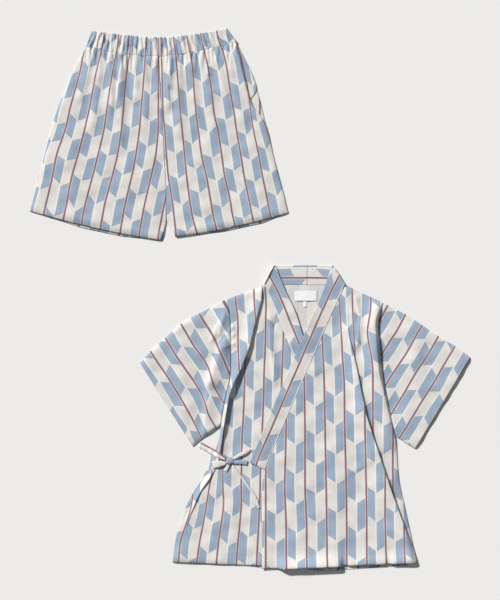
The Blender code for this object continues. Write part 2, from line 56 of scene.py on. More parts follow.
# The surface and the light: a pale matt table under one studio lamp from the upper left and a dim white room.
# The lamp is small and far off, so shadows keep their edges.
TABLE_SIDE = 8.0
TABLE_COLOUR = (0.765, 0.761, 0.757)
LAMP_COLOUR = (1.0, 0.985, 0.96)
LAMP_STRENGTH = 4.4
LAMP_TURN = (0.0, np.radians(50), np.radians(130))  # its height over the table, then round to the upper left
LAMP_SPREAD = np.radians(4)
ROOM_COLOUR = (0.95, 0.98, 1.0)
ROOM_STRENGTH = 0.20

bpy.ops.mesh.primitive_plane_add(size=TABLE_SIDE, location=(0, 0, -0.0002))
table_top = bpy.context.object
table_top.name = "table_top"
paint = bpy.data.materials.new("matt_table")
paint.use_nodes = True
finish = paint.node_tree.nodes["Principled BSDF"]
finish.inputs["Base Color"].default_value = (*TABLE_COLOUR, 1)
finish.inputs["Roughness"].default_value = 0.9
table_top.data.materials.append(paint)

lamp = bpy.data.lights.new("studio_lamp", "SUN")
lamp.energy = LAMP_STRENGTH
lamp.color = LAMP_COLOUR
lamp.angle = LAMP_SPREAD
lamp_stand = bpy.data.objects.new("studio_lamp", lamp)
lamp_stand.rotation_euler = LAMP_TURN
bpy.context.scene.collection.objects.link(lamp_stand)

room = bpy.data.worlds.new("white_room")
room.use_nodes = True
room.node_tree.nodes["Background"].inputs["Color"].default_value = (*ROOM_COLOUR, 1)
room.node_tree.nodes["Background"].inputs["Strength"].default_value = ROOM_STRENGTH
bpy.context.scene.world = room
bpy.context.scene.view_settings.view_transform = "Standard"

# The cloth: thin matt cotton with a small woven check, printed with arrow feathers. A mauve stripe runs down
# the middle of each column of feathers, and the blue vanes on its two sides are half a step apart. The print
# is worked out from the cloth's own places: one unit of U is a column and one of V is a repeat.
COLUMN = 47.3
REPEAT = 137.0
STRIPE_HALF = 0.05
EDGING_HALF = 0.07
GAP_FROM = 0.468
VANE_SLANT = 0.219
VANE_SHARE = 0.49
HALF_STEP = 0.19
COLUMN_STEP = 1 / 3
CREAM = (0.675, 0.653, 0.627)
BLUE = (0.300, 0.378, 0.487)
MAUVE = (0.250, 0.135, 0.170)
WHITE = (0.745, 0.733, 0.712)


def new_group(name, takes, gives):
    """An empty shader node group with these sockets, and its first and last nodes."""
    group = bpy.data.node_groups.new(name, "ShaderNodeTree")
    for socket, kind in takes.items():
        group.interface.new_socket(socket, in_out="INPUT", socket_type=kind)
    for socket, kind in gives.items():
        group.interface.new_socket(socket, in_out="OUTPUT", socket_type=kind)
    return group, group.nodes.new("NodeGroupInput"), group.nodes.new("NodeGroupOutput")


def work_out(group, operation, *values, clamp=False):
    """One step of arithmetic in a node group. Numbers and sockets go in, and the result's socket comes
    out."""
    node = group.nodes.new("ShaderNodeMath")
    node.operation = operation
    node.use_clamp = clamp
    for socket, value in zip(node.inputs, values):
        if isinstance(value, (int, float)):
            socket.default_value = value
        else:
            group.links.new(value, socket)
    return node.outputs[0]


def below(group, value, edge, softness):
    """1 where the value is below the edge and 0 above it, with a soft step between them."""
    left = work_out(group, "SUBTRACT", edge, value)
    return work_out(group, "MULTIPLY_ADD", left, 1 / softness, 0.5, clamp=True)


def blend_colours(group, share, first, second):
    """The first colour where the share is 0 and the second where it is 1."""
    node = group.nodes.new("ShaderNodeMix")
    node.data_type = "RGBA"
    sockets = {socket.identifier: socket for socket in node.inputs}
    for name, value in (("Factor_Float", share), ("A_Color", first), ("B_Color", second)):
        if isinstance(value, tuple):
            sockets[name].default_value = (*value, 1)
        elif isinstance(value, (int, float)):
            sockets[name].default_value = value
        else:
            group.links.new(value, sockets[name])
    return next(socket for socket in node.outputs if socket.identifier == "Result_Color")


def noise(group, place, scale, detail=2.0, stretch=(1, 1, 1)):
    """Blender's noise over a place that is stretched first, as a value about 0.5."""
    mapping = group.nodes.new("ShaderNodeMapping")
    mapping.inputs["Scale"].default_value = stretch
    group.links.new(place, mapping.inputs["Vector"])
    texture = group.nodes.new("ShaderNodeTexNoise")
    texture.inputs["Scale"].default_value = scale
    texture.inputs["Detail"].default_value = detail
    group.links.new(mapping.outputs["Vector"], texture.inputs["Vector"])
    return texture.outputs["Fac"]


def build_feather_print():
    """The nearest stripe gives a column and a distance from it. Along the column, each side's phase is its V
    plus the vane's slant with that distance, plus a step for the column and one for the side. A vane is blue
    for about half of each repeat."""
    group, start, end = new_group(
        "feather_print",
        {"Place": "NodeSocketVector"},
        {"Color": "NodeSocketColor", "Blue": "NodeSocketFloat"},
    )
    parts = group.nodes.new("ShaderNodeSeparateXYZ")
    group.links.new(start.outputs["Place"], parts.inputs[0])
    across, along = parts.outputs[0], parts.outputs[1]
    column = work_out(group, "FLOOR", work_out(group, "ADD", across, 0.5))
    aside = work_out(group, "SUBTRACT", across, column)
    distance = work_out(group, "ABSOLUTE", aside)
    left_side = work_out(group, "LESS_THAN", aside, 0.0)
    phase = work_out(group, "MULTIPLY_ADD", distance, VANE_SLANT, along)
    phase = work_out(group, "MULTIPLY_ADD", column, COLUMN_STEP, phase)
    phase = work_out(group, "MULTIPLY_ADD", left_side, HALF_STEP, phase)
    turn = work_out(group, "SUBTRACT", phase, work_out(group, "FLOOR", phase))
    from_middle = work_out(group, "ABSOLUTE", work_out(group, "SUBTRACT", turn, VANE_SHARE / 2))
    vane = below(group, from_middle, VANE_SHARE / 2, 0.006)
    stripe = below(group, distance, STRIPE_HALF, 0.02)
    edging = below(group, distance, EDGING_HALF, 0.015)
    inside = below(group, distance, GAP_FROM, 0.015)
    vane = work_out(group, "MULTIPLY", vane, inside)
    vane = work_out(group, "MULTIPLY", vane, work_out(group, "SUBTRACT", 1.0, edging))
    plain = work_out(group, "MULTIPLY", inside, work_out(group, "SUBTRACT", 1.0, edging))
    colour = blend_colours(group, plain, WHITE, CREAM)
    colour = blend_colours(group, vane, colour, BLUE)
    colour = blend_colours(group, stripe, colour, MAUVE)
    group.links.new(colour, end.inputs["Color"])
    group.links.new(vane, end.inputs["Blue"])
    return group


THREAD_PITCH = 1.15
CHECK_PITCH = 4.6


def build_cotton_weave():
    """Threads are two crossed waves, a check of thicker threads adds two longer ones, and slubs are noise
    that is drawn out along each direction. Tone is how light the cloth is there, about 1."""
    group, start, end = new_group(
        "cotton_weave",
        {"Place": "NodeSocketVector"},
        {"Height": "NodeSocketFloat", "Tone": "NodeSocketFloat"},
    )
    size = group.nodes.new("ShaderNodeVectorMath")
    size.operation = "MULTIPLY"
    size.inputs[1].default_value = (COLUMN, REPEAT, 0)
    group.links.new(start.outputs["Place"], size.inputs[0])
    place = size.outputs["Vector"]
    parts = group.nodes.new("ShaderNodeSeparateXYZ")
    group.links.new(place, parts.inputs[0])
    waves = []
    for pitch in (THREAD_PITCH, CHECK_PITCH):
        for axis in (0, 1):
            angle = work_out(group, "MULTIPLY", parts.outputs[axis], 2 * np.pi / pitch)
            waves.append(work_out(group, "SINE", angle))
    threads = work_out(group, "MULTIPLY", waves[0], waves[1])
    check = work_out(group, "ADD", waves[2], waves[3])
    warp = noise(group, place, 1.0, stretch=(0.9, 0.06, 1))
    weft = noise(group, place, 1.0, stretch=(0.06, 0.9, 1))
    slubs = work_out(group, "ADD", warp, weft)
    height = work_out(group, "MULTIPLY_ADD", check, 0.16, threads)
    height = work_out(group, "MULTIPLY_ADD", slubs, 1.4, height)
    tone = work_out(group, "MULTIPLY_ADD", slubs, 0.22, 0.78)
    tone = work_out(group, "MULTIPLY_ADD", check, 0.02, tone)
    group.links.new(height, end.inputs["Height"])
    group.links.new(tone, end.inputs["Tone"])
    return group


feather_print = build_feather_print()
cotton_weave = build_cotton_weave()
NAP_SHEEN = 0.12
WEAVE_DEPTH = 0.00012


def cotton(name, fade=0.0, tint=None):
    """Printed cotton, or plain cotton where a tint is given. The reverse is the print faded towards cream."""
    material = bpy.data.materials.new(name)
    material.use_nodes = True
    tree = material.node_tree
    shader = tree.nodes["Principled BSDF"]
    cloth_map = tree.nodes.new("ShaderNodeUVMap")
    cloth_map.uv_map = "cloth"
    weave = tree.nodes.new("ShaderNodeGroup")
    weave.node_tree = cotton_weave
    tree.links.new(cloth_map.outputs["UV"], weave.inputs["Place"])
    if tint is None:
        print_nodes = tree.nodes.new("ShaderNodeGroup")
        print_nodes.node_tree = feather_print
        tree.links.new(cloth_map.outputs["UV"], print_nodes.inputs["Place"])
        colour = blend_colours(tree, fade, print_nodes.outputs["Color"], CREAM)
    else:
        colour = blend_colours(tree, 0.0, tint, tint)
    shade = tree.nodes.new("ShaderNodeVectorMath")
    shade.operation = "SCALE"
    tree.links.new(colour, shade.inputs[0])
    tree.links.new(weave.outputs["Tone"], shade.inputs["Scale"])
    tree.links.new(shade.outputs["Vector"], shader.inputs["Base Color"])
    bump = tree.nodes.new("ShaderNodeBump")
    bump.inputs["Strength"].default_value = 0.5
    bump.inputs["Distance"].default_value = WEAVE_DEPTH
    tree.links.new(weave.outputs["Height"], bump.inputs["Height"])
    tree.links.new(bump.outputs["Normal"], shader.inputs["Normal"])
    shader.inputs["Roughness"].default_value = 0.88
    shader.inputs["Sheen Weight"].default_value = NAP_SHEEN
    shader.inputs["Specular IOR Level"].default_value = 0.25
    return material


printed = cotton("printed_cotton")
reverse = cotton("printed_cotton_reverse", fade=0.8)

# The back: one panel of the same cotton, laid flat with its outer side down. Its faded reverse shows in the
# neck, and its hem a little below the fronts'. Every height of the top's cloth follows from the folds
# listed here.
CLOTH = 1.2
SHELL = 0.9
SEAM = 0.3
LAYER = CLOTH + SEAM
SLACK = 0.5
FOLDED = 2.4
TOP_LOFT = 2.6
SIDE_ROLL = 14
BACK_HEM = (
    (390, -619), (381, -623), (226, -633), (186, -637), (120, -633), (28, -629), (-59, -618), (-183, -613),
)
BACK_GRID = (140, 90)
BACK_STRIPE_X = 112.3
BACK_PHASE = 0.2
HEM_DEPTH = 19


def table(columns, rows):
    """A short table, whose columns are read by name."""
    return np.array(rows, dtype=[(name, float) for name in columns.split()])


RIGHT_FRONT = table(
    "side_x side_y front_x front_y seat",
    [
        (-59, 0, 33, 35, 0.0),
        (-47, -31, 52, -8, 0.5),
        (-44, -106, 81, -80, 0.5),
        (-45, -176, 111, -150, 0.5),
        (-54, -216, 136, -200, 0.5),
        (-66, -282, 172, -270, 0.5),
        (-76, -340, 194, -335, 0.3),
        (-92, -366, 207, -390, 0.1),
        (-96, -386, 202, -415, 0.1),
        (-115, -423, 194, -450, 0.1),
        (-138, -460, 188, -490, 0.2),
        (-160, -508, 183, -535, 0.2),
        (-174, -559, 180, -585, 0.2),
        (-182, -616, 179, -631, 0.3),
    ],
)
LEFT_FRONT = table(
    "front_x front_y side_x side_y seat",
    [
        (223, 35, 313, -7, 0.0),
        (195, -26, 301, -59, 0.5),
        (160, -106, 306, -129, 0.5),
        (128, -180, 312, -178, 0.5),
        (106, -231, 320, -223, 0.5),
        (70, -315, 333, -285, 0.5),
        (36, -397, 343, -330, 0.1),
        (28, -440, 348, -410, 0.1),
        (28, -500, 362, -482, 0.1),
        (28, -566, 377, -550, 0.1),
        (28, -631, 390, -617, 0.2),
    ],
)

# A fold is a ridge from one place to the other, or a trough where its height is below 0. Left and right are
# its widths on the two sides of that run, and bow is how far its middle lies to the left of a straight line.
TOP_FOLDS = table(
    "from_x from_y to_x to_y height left right bow",
    [
        (-60, -20, -40, -110, 3.0, 12, 16, 0),
        (46, -40, 58, -190, 3.2, 10, 4, -3),
        (61, -38, 58, -68, -2.0, 3, 3, 0),
        (-40, -60, -56, -84, 4.4, 5, 3, 0),
        (-37, -78, -64, -98, 4.0, 5, 3, 2),
        (-36, -100, -66, -110, 3.6, 5, 3, 0),
        (-70, -50, -92, -96, 3.2, 8, 4, 0),
        (-62, -34, -74, -84, 3.2, 7, 3, 0),
        (-48, -190, -74, -360, 6.0, 14, 4, -5),
        (232, 30, 250, -110, 5.0, 16, 13, 0),
        (226, -60, 268, -270, 3.2, 12, 30, 0),
        (262, -240, 326, -440, 3.2, 12, 30, 0),
        (318, -420, 378, -630, 3.0, 12, 30, 0),
        (297, 0, 290, -120, 3.4, 14, 18, 0),
        (288, -100, 332, -330, 3.4, 14, 18, 0),
        (-40, -400, -40, -560, 2.2, 20, 20, 0),
        (-96, -400, -152, -510, -3.5, 6, 5, 0),
        (246, 7, 257, -39, 4.0, 9, 3, 0),
        (257, -39, 252, -103, 4.0, 9, 3, 0),
        (-170, -600, -60, -628, 2.4, 20, 20, 0),
        (-250, -150, -140, -330, 2.6, 20, 22, 0),
        (-62, -96, -98, -200, 6.5, 20, 7, 0),
        (-96, -180, -106, -310, 6.5, 20, 7, 0),
        (-180, -90, -150, -260, 2.6, 22, 18, 0),
        (508, -140, 384, -334, 3.0, 22, 20, 0),
        (400, -60, 360, -300, 2.4, 24, 24, 0),
        (460, -110, 384, -260, 1.8, 22, 22, 0),
        (352, -350, 384, -600, 2.4, 12, 14, 0),
    ],
)

# A lip is a sharp fold, where the cloth at its left turns under itself and lies higher than the cloth at its
# right. Its line is given by its place in X at some heights.
NECK_LIP = table(
    "y x height crest",
    [
        (36, 28, 4, 10),
        (0, 26, 7, 16),
        (-47, 13, 10, 22),
        (-106, -1, 11, 24),
        (-167, -24, 13, 24),
        (-195, -39, 15, 20),
        (-224, -49, 13.5, 18),
        (-269, -57, 12, 16),
        (-307, -63, 10, 14),
        (-352, -70, 6, 10),
        (-380, -74, 3, 9),
        (-392, -80, 2, 8),
        (-418, -95, 6, 8),
        (-446, -115, 6, 8),
        (-470, -126, 5, 8),
        (-505, -141, 3, 8),
        (-529, -148, 1, 8),
        (-560, -155, 0, 10),
    ],
)
SLANTING_LIP = table(
    "y x height crest",
    [
        (0, 229, 0.0, 8),
        (-30, 229, 1.4, 8),
        (-80, 231, 3.0, 12),
        (-153, 248, 7.0, 20),
        (-266, 270, 10.5, 28),
        (-430, 324, 11.5, 32),
        (-545, 366, 9.5, 28),
        (-588, 386, 7.0, 20),
        (-620, 390, 4.0, 12),
    ],
)
ARMHOLE_EDGE = table(
    "y height inward",
    [
        (35, 0, 4),
        (-5, 0, 4),
        (-20, 8, 5),
        (-45, 14, 8),
        (-64, 16, 9),
        (-87, 15, 7),
        (-131, 16, 8),
        (-171, 15, 9),
        (-208, 11, 6),
        (-235, 9, 5),
        (-265, 7, 4),
        (-330, 4, 3),
        (-360, 0, 4),
        (-640, 0, 4),
    ],
)
HEM_LIFTS = table("from_x to_x height", [(62, 222, 16), (222, 330, 6), (322, 420, 8)])
LIP_EDGE = 1.2


def smooth(knots, at):
    """The value at each place along a row of knots: a cubic between two knots that never passes beyond them.
    At a knot its slope is the harmonic mean of the steps beside it, or none where they turn back."""
    knots = np.asarray(knots, float)
    step = np.diff(knots)
    before, after = step[:-1], step[1:]
    onward = before * after > 0
    mean = 2 * before * after / np.where(onward, before + after, 1)
    slope = np.concatenate([step[:1], np.where(onward, mean, 0), step[-1:]])
    first = np.clip(np.floor(at).astype(int), 0, len(knots) - 2)
    f = at - first
    rest = 1 - f
    value = knots[first] * rest**2 * (1 + 2 * f) + knots[first + 1] * f**2 * (1 + 2 * rest)
    return value + slope[first] * f * rest**2 - slope[first + 1] * f**2 * rest


def stations(rows, count):
    """Places along a table, evenly spaced by the mean length of its two edges."""
    xa, ya, xb, yb = (rows[name] for name in rows.dtype.names[:4])
    step = np.hypot(np.diff(xa), np.diff(ya)) + np.hypot(np.diff(xb), np.diff(yb))
    run = np.concatenate([[0], np.cumsum(step)])
    return np.interp(np.linspace(0, run[-1], count), run, np.arange(len(rows)))


def ramp(value):
    """0 up to 0, 1 from 1 on, and a soft step between them."""
    inside = np.clip(value, 0, 1)
    return inside * inside * (3 - 2 * inside)


def roll(distance, width, seat):
    """The share of the height that is left this far from an edge: seat at the edge, all of it past width."""
    inside = np.clip(distance / width, 0, 1)
    return seat + (1 - seat) * (1 - (1 - inside) ** 2)


def fold_heights(x, y, folds):
    """The sum of the folds' heights: each is a bell across its bowed line and fades out at the line's
    ends."""
    total = np.zeros(np.broadcast(x, y).shape)
    for fold in folds:
        run_x = fold["to_x"] - fold["from_x"]
        run_y = fold["to_y"] - fold["from_y"]
        length = np.hypot(run_x, run_y)
        along = ((x - fold["from_x"]) * run_x + (y - fold["from_y"]) * run_y) / length**2
        across = ((y - fold["from_y"]) * run_x - (x - fold["from_x"]) * run_y) / length
        inside = np.clip(along, 0, 1)
        across = across - fold["bow"] * 4 * inside * (1 - inside)
        width = np.where(across > 0, fold["left"], fold["right"])
        ends = ramp(along * 4 + 0.6) * ramp((1 - along) * 4 + 0.6)
        total += fold["height"] * ends * np.exp(-((across / width) ** 2))
    return total


def at_height(y, lines, name):
    """A line's value at this Y: straight between the table's rows."""
    return np.interp(-y, -lines["y"], lines[name])


def lip_height(x, y, lip):
    """The cloth rises towards the lip from its left, over the width of the crest, and drops behind its
    edge."""
    across = x - at_height(y, lip, "x")
    crest = np.exp(-((across / at_height(y, lip, "crest")) ** 2))
    return at_height(y, lip, "height") * np.where(across < 0, crest, 1 - ramp(across / LIP_EDGE))


def rumple(x, y):
    """Slight waves all over the cloth, each turned from the last by the golden angle and a little shorter."""
    total = np.zeros(np.broadcast(x, y).shape)
    for k in range(9):
        way_x, way_y = np.cos(2.4 * k), np.sin(2.4 * k)
        total += 0.5 * 0.9**k * np.sin((x * way_x + y * way_y) * 2 * np.pi / (90 * 0.86**k) + k * k)
    return total


def top_height(x, y):
    """How high the top's cloth lies over the layer below it, away from its lips."""
    return np.maximum(TOP_LOFT + fold_heights(x, y, TOP_FOLDS) + rumple(x, y), 0.6)


def lift_over_under_layers(x, y):
    """The over front's extra height: it lies on the under front, and higher where the under collar is."""
    seam = np.interp(-y, -RIGHT_FRONT["front_y"], RIGHT_FRONT["front_x"])
    collar_reach = 56 * ramp((y + 420) / 50)
    on_front = 1 - ramp((x - seam - collar_reach - 16) / 26)
    on_collar = ramp((x - seam + 26) / 20) * on_front * ramp((y + 430) / 40)
    return (LAYER + SLACK) * on_front + (FOLDED - CLOTH) * on_collar


def lay_cloth(name, points, place, thickness=SHELL, ring=False, turned=None):
    """A grid of points in millimetres becomes a thin wall, whose map holds the cloth's own places. Its outer
    side is the one that faces up, and in a ring the last column is sewn to the first. With no thickness, the
    grid already goes all round its section. Where the cloth is turned in at a hem, both sides are its outer
    one."""
    rows, columns = points.shape[:2]
    shape = bpy.data.meshes.new(name + "_cloth")
    index = np.arange(rows * columns).reshape(rows, columns)
    index = np.concatenate([index, index[:, :1]], 1) if ring else index
    corners = np.stack([index[:-1, :-1], index[1:, :-1], index[1:, 1:], index[:-1, 1:]], -1).reshape(-1, 4)
    shape.from_pydata((points.reshape(-1, 3) * MM).tolist(), [], corners.tolist())
    place = np.concatenate([place, place[:, -1:]], 1) if ring and place.shape[1] == columns else place
    spot = np.arange(place.shape[0] * place.shape[1]).reshape(place.shape[:2])
    own = np.stack([spot[:-1, :-1], spot[1:, :-1], spot[1:, 1:], spot[:-1, 1:]], -1).reshape(-1)
    layer = shape.uv_layers.new(name="cloth")
    layer.data.foreach_set("uv", place.reshape(-1, 2)[own].astype(np.float32).ravel())
    shape.shade_smooth()
    piece = bpy.data.objects.new(name + "_cloth", shape)
    bpy.context.scene.collection.objects.link(piece)
    for material in (printed, reverse, printed, printed):
        shape.materials.append(material)
    if turned is not None:
        chosen = np.where(turned[:-1, :-1], 2, 0).astype(np.int32)
        shape.polygons.foreach_set("material_index", chosen.ravel())
    if thickness:
        wall = piece.modifiers.new("wall", "SOLIDIFY")
        wall.thickness = thickness * MM
        wall.offset = 0.0
        wall.material_offset = 1
    return piece


STITCH_PITCH = 3.4
STITCH_LENGTH = 2.5
STITCH_WIDTH = 0.55
STITCH_RISE = 0.28
THREAD_WHITE = (0.80, 0.79, 0.77)
thread = cotton("sewing_thread", tint=THREAD_WHITE)


def sew(name, line):
    """Stitches along a line of points on the cloth. Each is a slim grain with its ends drawn in, a middle
    of four corners and eight faces."""
    run = np.concatenate([[0], np.cumsum(np.hypot(*np.diff(line[:, :2], axis=0).T))])
    middles = np.arange(STITCH_PITCH / 2, run[-1] - STITCH_LENGTH / 2, STITCH_PITCH)
    reach = middles[:, None] + STITCH_LENGTH / 2 * np.array([-1, 1])
    ends = np.stack([np.interp(reach, run, line[:, axis]) for axis in range(3)], -1)
    way = ends[:, 1] - ends[:, 0]
    side = np.stack([-way[:, 1], way[:, 0], 0 * way[:, 0]], -1)
    side = side / np.linalg.norm(side, axis=1, keepdims=True) * STITCH_WIDTH / 2
    middle = ends.mean(1)
    up = np.array([0, 0, STITCH_RISE])
    points = np.stack([ends[:, 0], ends[:, 1], middle + side, middle + up, middle - side, middle - up], 1)
    grain = np.array([[0, 2, 3], [0, 3, 4], [0, 4, 5], [0, 5, 2], [1, 3, 2], [1, 4, 3], [1, 5, 4], [1, 2, 5]])
    faces = (np.arange(len(points))[:, None, None] * 6 + grain).reshape(-1, 3)
    shape = bpy.data.meshes.new(name + "_stitches")
    shape.from_pydata((points.reshape(-1, 3) * MM).tolist(), [], faces.tolist())
    layer = shape.uv_layers.new(name="cloth")
    flat_places = points.reshape(-1, 3)[faces.ravel(), :2] / COLUMN
    layer.data.foreach_set("uv", flat_places.astype(np.float32).ravel())
    shape.shade_smooth()
    shape.materials.append(thread)
    stitches = bpy.data.objects.new(name + "_stitches", shape)
    bpy.context.scene.collection.objects.link(stitches)
    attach(stitches, "root")


def line_above(points, depth):
    """The places on a cloth's upper side that lie this far from its last row, one for each column."""
    run = run_down(points[..., 0], points[..., 1])
    to_end = (run[-1] - run)[::-1]
    back = points[::-1]
    line = [
        [np.interp(depth, to_end[:, k], back[:, k, axis]) for axis in range(3)]
        for k in range(points.shape[1])
    ]
    return np.array(line) + (0, 0, SHELL / 2)


def put_on(piece, node):
    """The piece takes the place of its plain solid and lies with the rest of the set."""
    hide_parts(node)
    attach(piece, "root")


def lay_back():
    """Each row runs from the right side to the left one, and the lowest rows bend to follow the hem."""
    rows, columns = BACK_GRID
    t = np.linspace(0, 1, rows)[:, None]
    s = np.linspace(0, 1, columns)
    right_side = smooth_edge(RIGHT_FRONT, "side", rows)
    left_side = smooth_edge(LEFT_FRONT, "side", rows)
    x = right_side[:, :1] + (left_side[:, :1] - right_side[:, :1]) * s
    y = right_side[:, 1:] + (left_side[:, 1:] - right_side[:, 1:]) * s
    hem = np.array(BACK_HEM[::-1], float)
    hem_y = np.interp(x, hem[:, 0], hem[:, 1])
    y = y + (hem_y - y) * t**6
    neck = ramp((x - 20) / 26) * (1 - ramp((x - 210) / 26))
    y = y + (35 - y) * (1 - t) ** 6 * neck
    z = np.full(x.shape, CLOTH / 2)
    place = np.stack([-(x - BACK_STRIPE_X) / COLUMN, y / REPEAT + BACK_PHASE], -1)
    turned = y < hem_y + HEM_DEPTH
    return lay_cloth("back", np.stack([x, y, z], -1)[:, ::-1], place[:, ::-1], turned=turned[:, ::-1])


def smooth_edge(rows, side, count):
    """Points along one edge of a front, by their places in its table."""
    at = stations(rows, count)
    return np.stack([smooth(rows[side + "_x"], at), smooth(rows[side + "_y"], at)], -1)


back = lay_back()
put_on(back, "back")

# The fronts: two panels cut on the straight grain. The wearer's right one lies under, and the left one over
# it. A deep lip at the neck takes up the under front's fullness, and a slanting one the over front's. The
# tables give the place in X of each stripe at some heights, which is how the grain runs on either side of a
# lip.
UNDER_STRIPES = table(
    "y e d c b a z",
    [
        (35, -150, -103, -56, -9, 34, 80),
        (0, -150, -103, -56, -9, 38, 80),
        (-106, -150, -103, -58, -11, 36, 78),
        (-172, -150, -103, -58, -12, 33, 75),
        (-235, -150, -103, -59, -14, 32, 73),
        (-298, -150, -101, -61, -17, 29, 73),
        (-352, -146, -96, -66, -20, 27, 73),
        (-400, -139, -87, -64, -20, 24, 72),
        (-442, -134, -96, -64, -21, 24, 70),
        (-479, -136, -102, -61, -20, 22, 69),
        (-515, -146, -108, -66, -23, 21, 68),
        (-566, -164, -118, -74, -28, 18, 66),
        (-630, -169, -127, -80, -33, 15, 63),
    ],
)
UNDER_STRIPES_ASIDE = table(
    "y d c b a",
    [
        (35, -80, -36, 9, 52),
        (0, -78, -34, 10, 54),
        (-47, -73, -28, 13, 59),
        (-106, -73, -28, 18, 63),
        (-172, -68, -25, 22, 66),
        (-235, -62, -16, 28, 73),
        (-298, -70, -28, 19, 66),
        (-352, -77, -52, -7, 38),
        (-400, -87, -64, -20, 24),
    ],
)
OVER_STRIPES = table(
    "y a b c d e f g h",
    [
        (24, 38, 85, 127, 169, 208, 239, 284, 331),
        (-70, 38, 85, 127, 169, 214, 243, 287, 334),
        (-132, 38, 85, 127, 171, 217, 258, 303, 348),
        (-188, 38, 85, 127, 174, 221, 266, 311, 352),
        (-301, 37, 85, 129, 176, 222, 269, 315, 357),
        (-442, 37, 81, 129, 179, 226, 273, 316, 360),
        (-526, 37, 85, 133, 180, 227, 274, 317, 360),
        (-625, 37, 85, 133, 181, 227, 274, 320, 363),
    ],
)
OVER_STRIPES_ASIDE = table(
    "y e f g h i",
    [
        (24, 208, 239, 284, 334, 381),
        (-19, 212, 240, 283, 329, 376),
        (-75, 214, 243, 273, 322, 369),
        (-103, 215, 245, 278, 327, 374),
        (-146, 212, 247, 286, 331, 378),
        (-188, 197, 244, 288, 334, 381),
        (-301, 195, 242, 288, 335, 381),
        (-442, 195, 242, 289, 335, 381),
        (-625, 197, 244, 291, 338, 383),
    ],
)
UNDER_PHASE = 0.783
OVER_PHASE = 0.684
STRIPE_BEND = 14
LEAN_STEP = 10
LEVEL_SHARES = (0.1, 0.3, 0.5, 0.7, 0.9)
CROWDING = 1.45


def stripe_number(x, y, stripes, first):
    """A place's number of columns across: the stripes count up from the first, and places between two
    stripes, or past the last, follow evenly. The stripes' bends are rounded off by taking a mean over some
    heights."""
    near = y[..., None] + STRIPE_BEND * np.linspace(-1, 1, 5)
    lines = [at_height(near, stripes, name).mean(-1) for name in stripes.dtype.names[1:]]
    number = np.full(x.shape, float(first))
    steps = [(x - low) / (high - low) for low, high in zip(lines, lines[1:])]
    for k, step in enumerate(steps):
        lowest = -np.inf if k == 0 else 0
        highest = np.inf if k == len(steps) - 1 else 1
        number += np.clip(step, lowest, highest)
    return number


def cloth_place(x, y, stripes, first, level_x, phase, repeat=REPEAT):
    """U is the stripe's number and V the way up the cloth. Threads across the cloth stay square to the
    stripes, so V is Y plus the stripes' mean lean between the level line and the place, times the way
    between them."""
    lean = np.zeros(x.shape)
    for share in LEVEL_SHARES:
        at_x = level_x + (x - level_x) * share
        up = stripe_number(at_x, y + LEAN_STEP, stripes, first)
        up = up - stripe_number(at_x, y - LEAN_STEP, stripes, first)
        aside = stripe_number(at_x + LEAN_STEP, y, stripes, first)
        aside = aside - stripe_number(at_x - LEAN_STEP, y, stripes, first)
        lean -= up / aside / len(LEVEL_SHARES)
    number = stripe_number(x, y, stripes, first)
    return np.stack([number, (y + (x - level_x) * lean) / repeat + phase], -1)


def columns_about(share, before, after):
    """Shares across each section, which crowd towards the lip from both sides."""
    t = np.linspace(0, 1, before + 1)[:0:-1] ** CROWDING
    u = np.linspace(0, 1, after + 1) ** CROWDING
    return np.concatenate([share * (1 - t), share + (1 - share) * u], 1)


def panel_places(rows, count, before, after, lip):
    """A front's points in plan, with a column of them along the lip, and each point's share across."""
    at = stations(rows, count)[:, None]
    xa, ya, xb, yb = (smooth(rows[name], at) for name in rows.dtype.names[:4])
    share = np.full(at.shape, 0.5)
    for _ in range(5):
        share = np.clip((at_height(ya + (yb - ya) * share, lip, "x") - xa) / (xb - xa), 0.03, 0.97)
    across = columns_about(share, before, after)
    return xa + (xb - xa) * across, ya + (yb - ya) * across, at, across


def run_down(x, y):
    """Each point's distance from the first row, along its column."""
    steps = np.hypot(np.diff(x, axis=0), np.diff(y, axis=0))
    return np.concatenate([np.zeros((1, x.shape[1])), np.cumsum(steps, axis=0)])


def front_height(x, y, at, to_side, rows):
    """The share of the loft and folds, which come down at the shoulder, the side and the hem."""
    run = run_down(x, y)
    seat = np.clip(smooth(rows["seat"], at), 0, 1)
    return roll(to_side, SIDE_ROLL, seat) * roll(run, SIDE_ROLL, 0.2) * roll(run[-1] - run, SIDE_ROLL, 0.35)


def armhole_height(y, to_side):
    """The over front stands up along its armhole and drops to the sleeve from a crest a little way in."""
    inward = at_height(y, ARMHOLE_EDGE, "inward")
    crest = np.where(to_side > inward, np.exp(-(((to_side - inward) / 28) ** 2)), to_side / inward)
    return at_height(y, ARMHOLE_EDGE, "height") * crest


def hem_height(x, y):
    """Lengths of the over front's hem that stand off the surface."""
    to_hem = y - np.interp(x, LEFT_FRONT["side_x"][-1:] * [0.2, 1], [-631, -617])
    total = np.zeros(x.shape)
    for part in HEM_LIFTS:
        within = ramp((x - part["from_x"]) / 16) * ramp((part["to_x"] - x) / 16)
        total += part["height"] * within * np.exp(-((to_hem / 22) ** 2))
    return total


